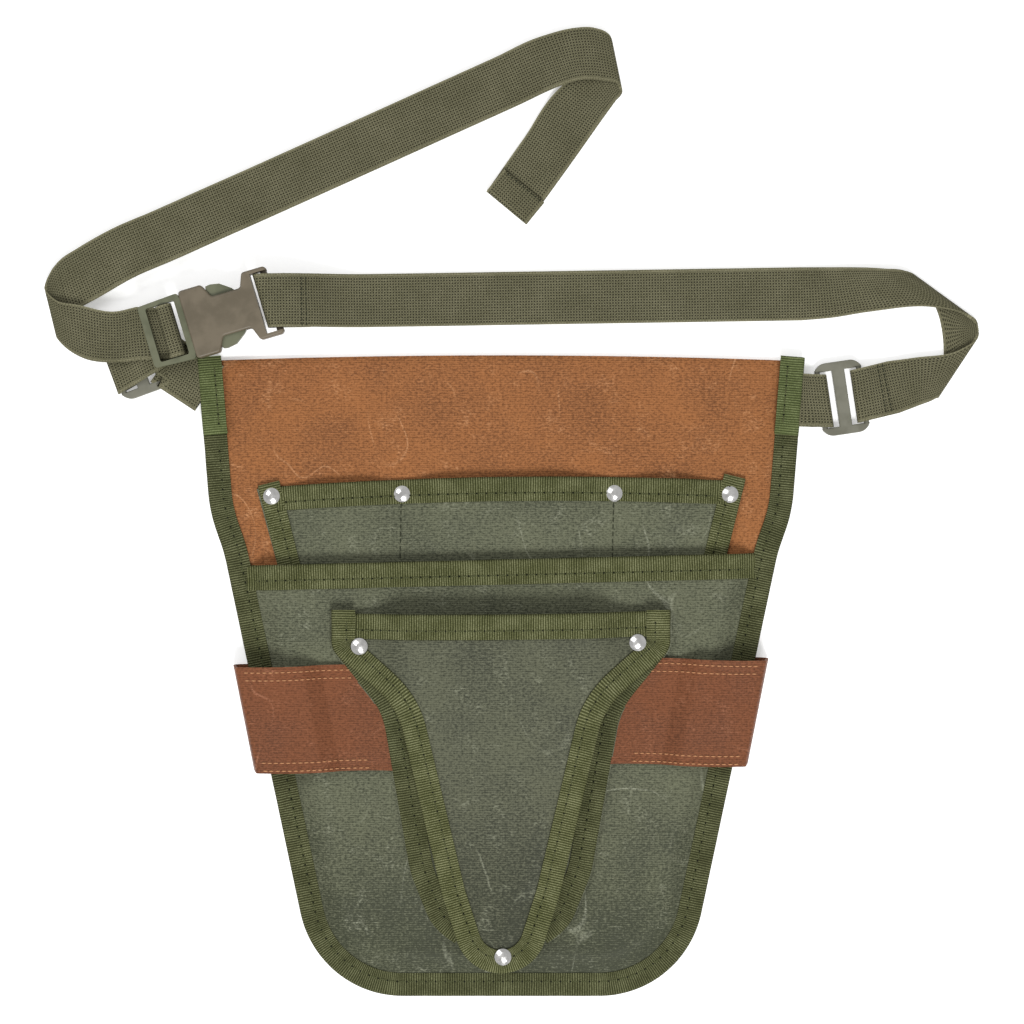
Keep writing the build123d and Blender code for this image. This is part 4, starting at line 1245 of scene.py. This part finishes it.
def square_rows(start, end, low, high, count):
    """Pairs of edge points square to a straight run, its levels eased from one to the other."""
    side = headed(heading(start, end) + 90) * WEB_WIDTH / 2
    made = []
    for t in np.linspace(0, 1, count):
        place, z = start + (end - start) * t, low + (high - low) * float(ease(0, 0.4, t))
        made.append(((*(place - side), z), (*(place + side), z)))
    return made


left_curl = lofted(
    (
        (left_strap.grid[-1, 0], left_strap.grid[-1, -1]),
        ((-190.5, 71.3, 9.2), (-191.0, 95.5, 9.2)),
        ((-205.0, 73.3, 9.6), (-207.0, 98.6, 9.4)),
        ((-213.5, 78.6, 9.4), (-218.0, 101.0, 9.2)),
        ((-217.6, 84.4, 7.8), (-223.2, 107.2, 7.8)),
        ((-215.6, 90.0, 6.0), (-221.6, 114.0, 6.0)),
        ((-209.0, 96.3, 5.4), (-216.6, 120.4, 5.4)),
        ((-198.4, 102.4, 5.4), (-208.6, 125.8, 5.4)),
        ((-181.2, 112.3, 5.0), (-191.6, 135.5, 5.0)),
        *square_rows(TAIL_START, TAIL_TURN, 4.5, ON_STRAP, 8),
        ((23.1, 204.3, 2.5), (12.7, 227.5, 2.5)),
        ((33.5, 207.0, 2.6), (28.3, 231.6, 2.6)),
        ((42.5, 206.6, 2.7), (38.5, 231.8, 2.7)),
        ((50.4, 204.6, 2.3), (45.6, 228.4, 2.3)),
        ((51.6, 200.8, 1.1), (46.6, 223.6, 1.1)),
        ((49.0, 197.2, 0.9), (39.8, 217.0, 0.9)),
        ((43.8, 190.0, 0.9), (23.6, 204.6, 0.9)),
        ((25.9, 164.7, 0.9), (5.1, 179.3, 0.9)),
        ((7.2, 139.0, 0.9), (-12.0, 154.9, 0.9)),
        ((6.6, 138.3, 1.3), (-12.6, 154.2, 1.3)),
        ((6.6, 138.3, 2.1), (-12.6, 154.2, 2.1)),
        ((7.2, 139.0, 2.5), (-12.0, 154.9, 2.5)),
        ((14.8, 148.2, 2.5), (-4.4, 164.1, 2.5)),
    )
)
left_cut = int(np.argmax(left_curl[:, MIDDLE, 2] < 5.5))
left_strap.lay(np.concatenate([left_strap.grid, left_curl[1 : left_cut + 2]]))
left_nodes = ["left_strap_leg", "left_strap_wrap"]
left_web = left_strap.piece("left_strap_webbing", None, left_nodes, [], held="folded")
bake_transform(left_web)

tail = Strip(left_curl[left_cut:])
tail.sway(34.0, 0.3, 82)
tail_web = tail.piece("left_strap_tail_webbing", "bag", ["left_strap_tail"], [], held="folded")
attach(tail.seam("tail_hem_seam", tail.s[-1] - 1.2, 95), tail_web)

# ---------------------------------------------------------------- stage, light and camera

bpy.ops.mesh.primitive_plane_add(size=30.0, location=(0, 0, 0))
floor = bpy.context.object
floor.name = "floor"
floor.location.z = cad_box[0][2]
paper = Nodes("floor_paper", 0.9)
paper.shader.inputs["Base Color"].default_value = (0.92, 0.92, 0.92, 1.0)
paper.shader.inputs["Emission Color"].default_value = (1.0, 1.0, 1.0, 1.0)
paper.shader.inputs["Emission Strength"].default_value = 0.35
floor.data.materials.append(paper.material)

world = bpy.data.worlds.new("studio")
scene.world = world
world.use_nodes = True
sky = world.node_tree.nodes["Background"]
sky.inputs["Color"].default_value = (1.0, 1.0, 1.0, 1.0)
sky.inputs["Strength"].default_value = 0.55


def softbox(name, place, aim, size, watts):
    """A square area light."""
    data = bpy.data.lights.new(name, "AREA")
    data.shape = "SQUARE"
    data.size = size
    data.energy = watts
    lamp = bpy.data.objects.new(name, data)
    lamp.location = place
    lamp.rotation_euler = (Vector(aim) - Vector(place)).to_track_quat("-Z", "Y").to_euler()
    scene.collection.objects.link(lamp)
    return lamp


softbox("key", (0.25, -1.25, 1.5), (0, 0, 0), 0.7, 34)
softbox("fill", (-1.2, 0.9, 1.6), (0, 0, 0), 1.2, 16)

camera_data = bpy.data.cameras.new("camera")
camera_data.lens = 100.0
camera_data.sensor_width = 36.0
camera_data.clip_start = 0.01
camera = bpy.data.objects.new("camera", camera_data)
camera.location = (-0.0007, 0.0, 1.365)
scene.collection.objects.link(camera)
scene.camera = camera
scene.view_settings.view_transform = "Standard"
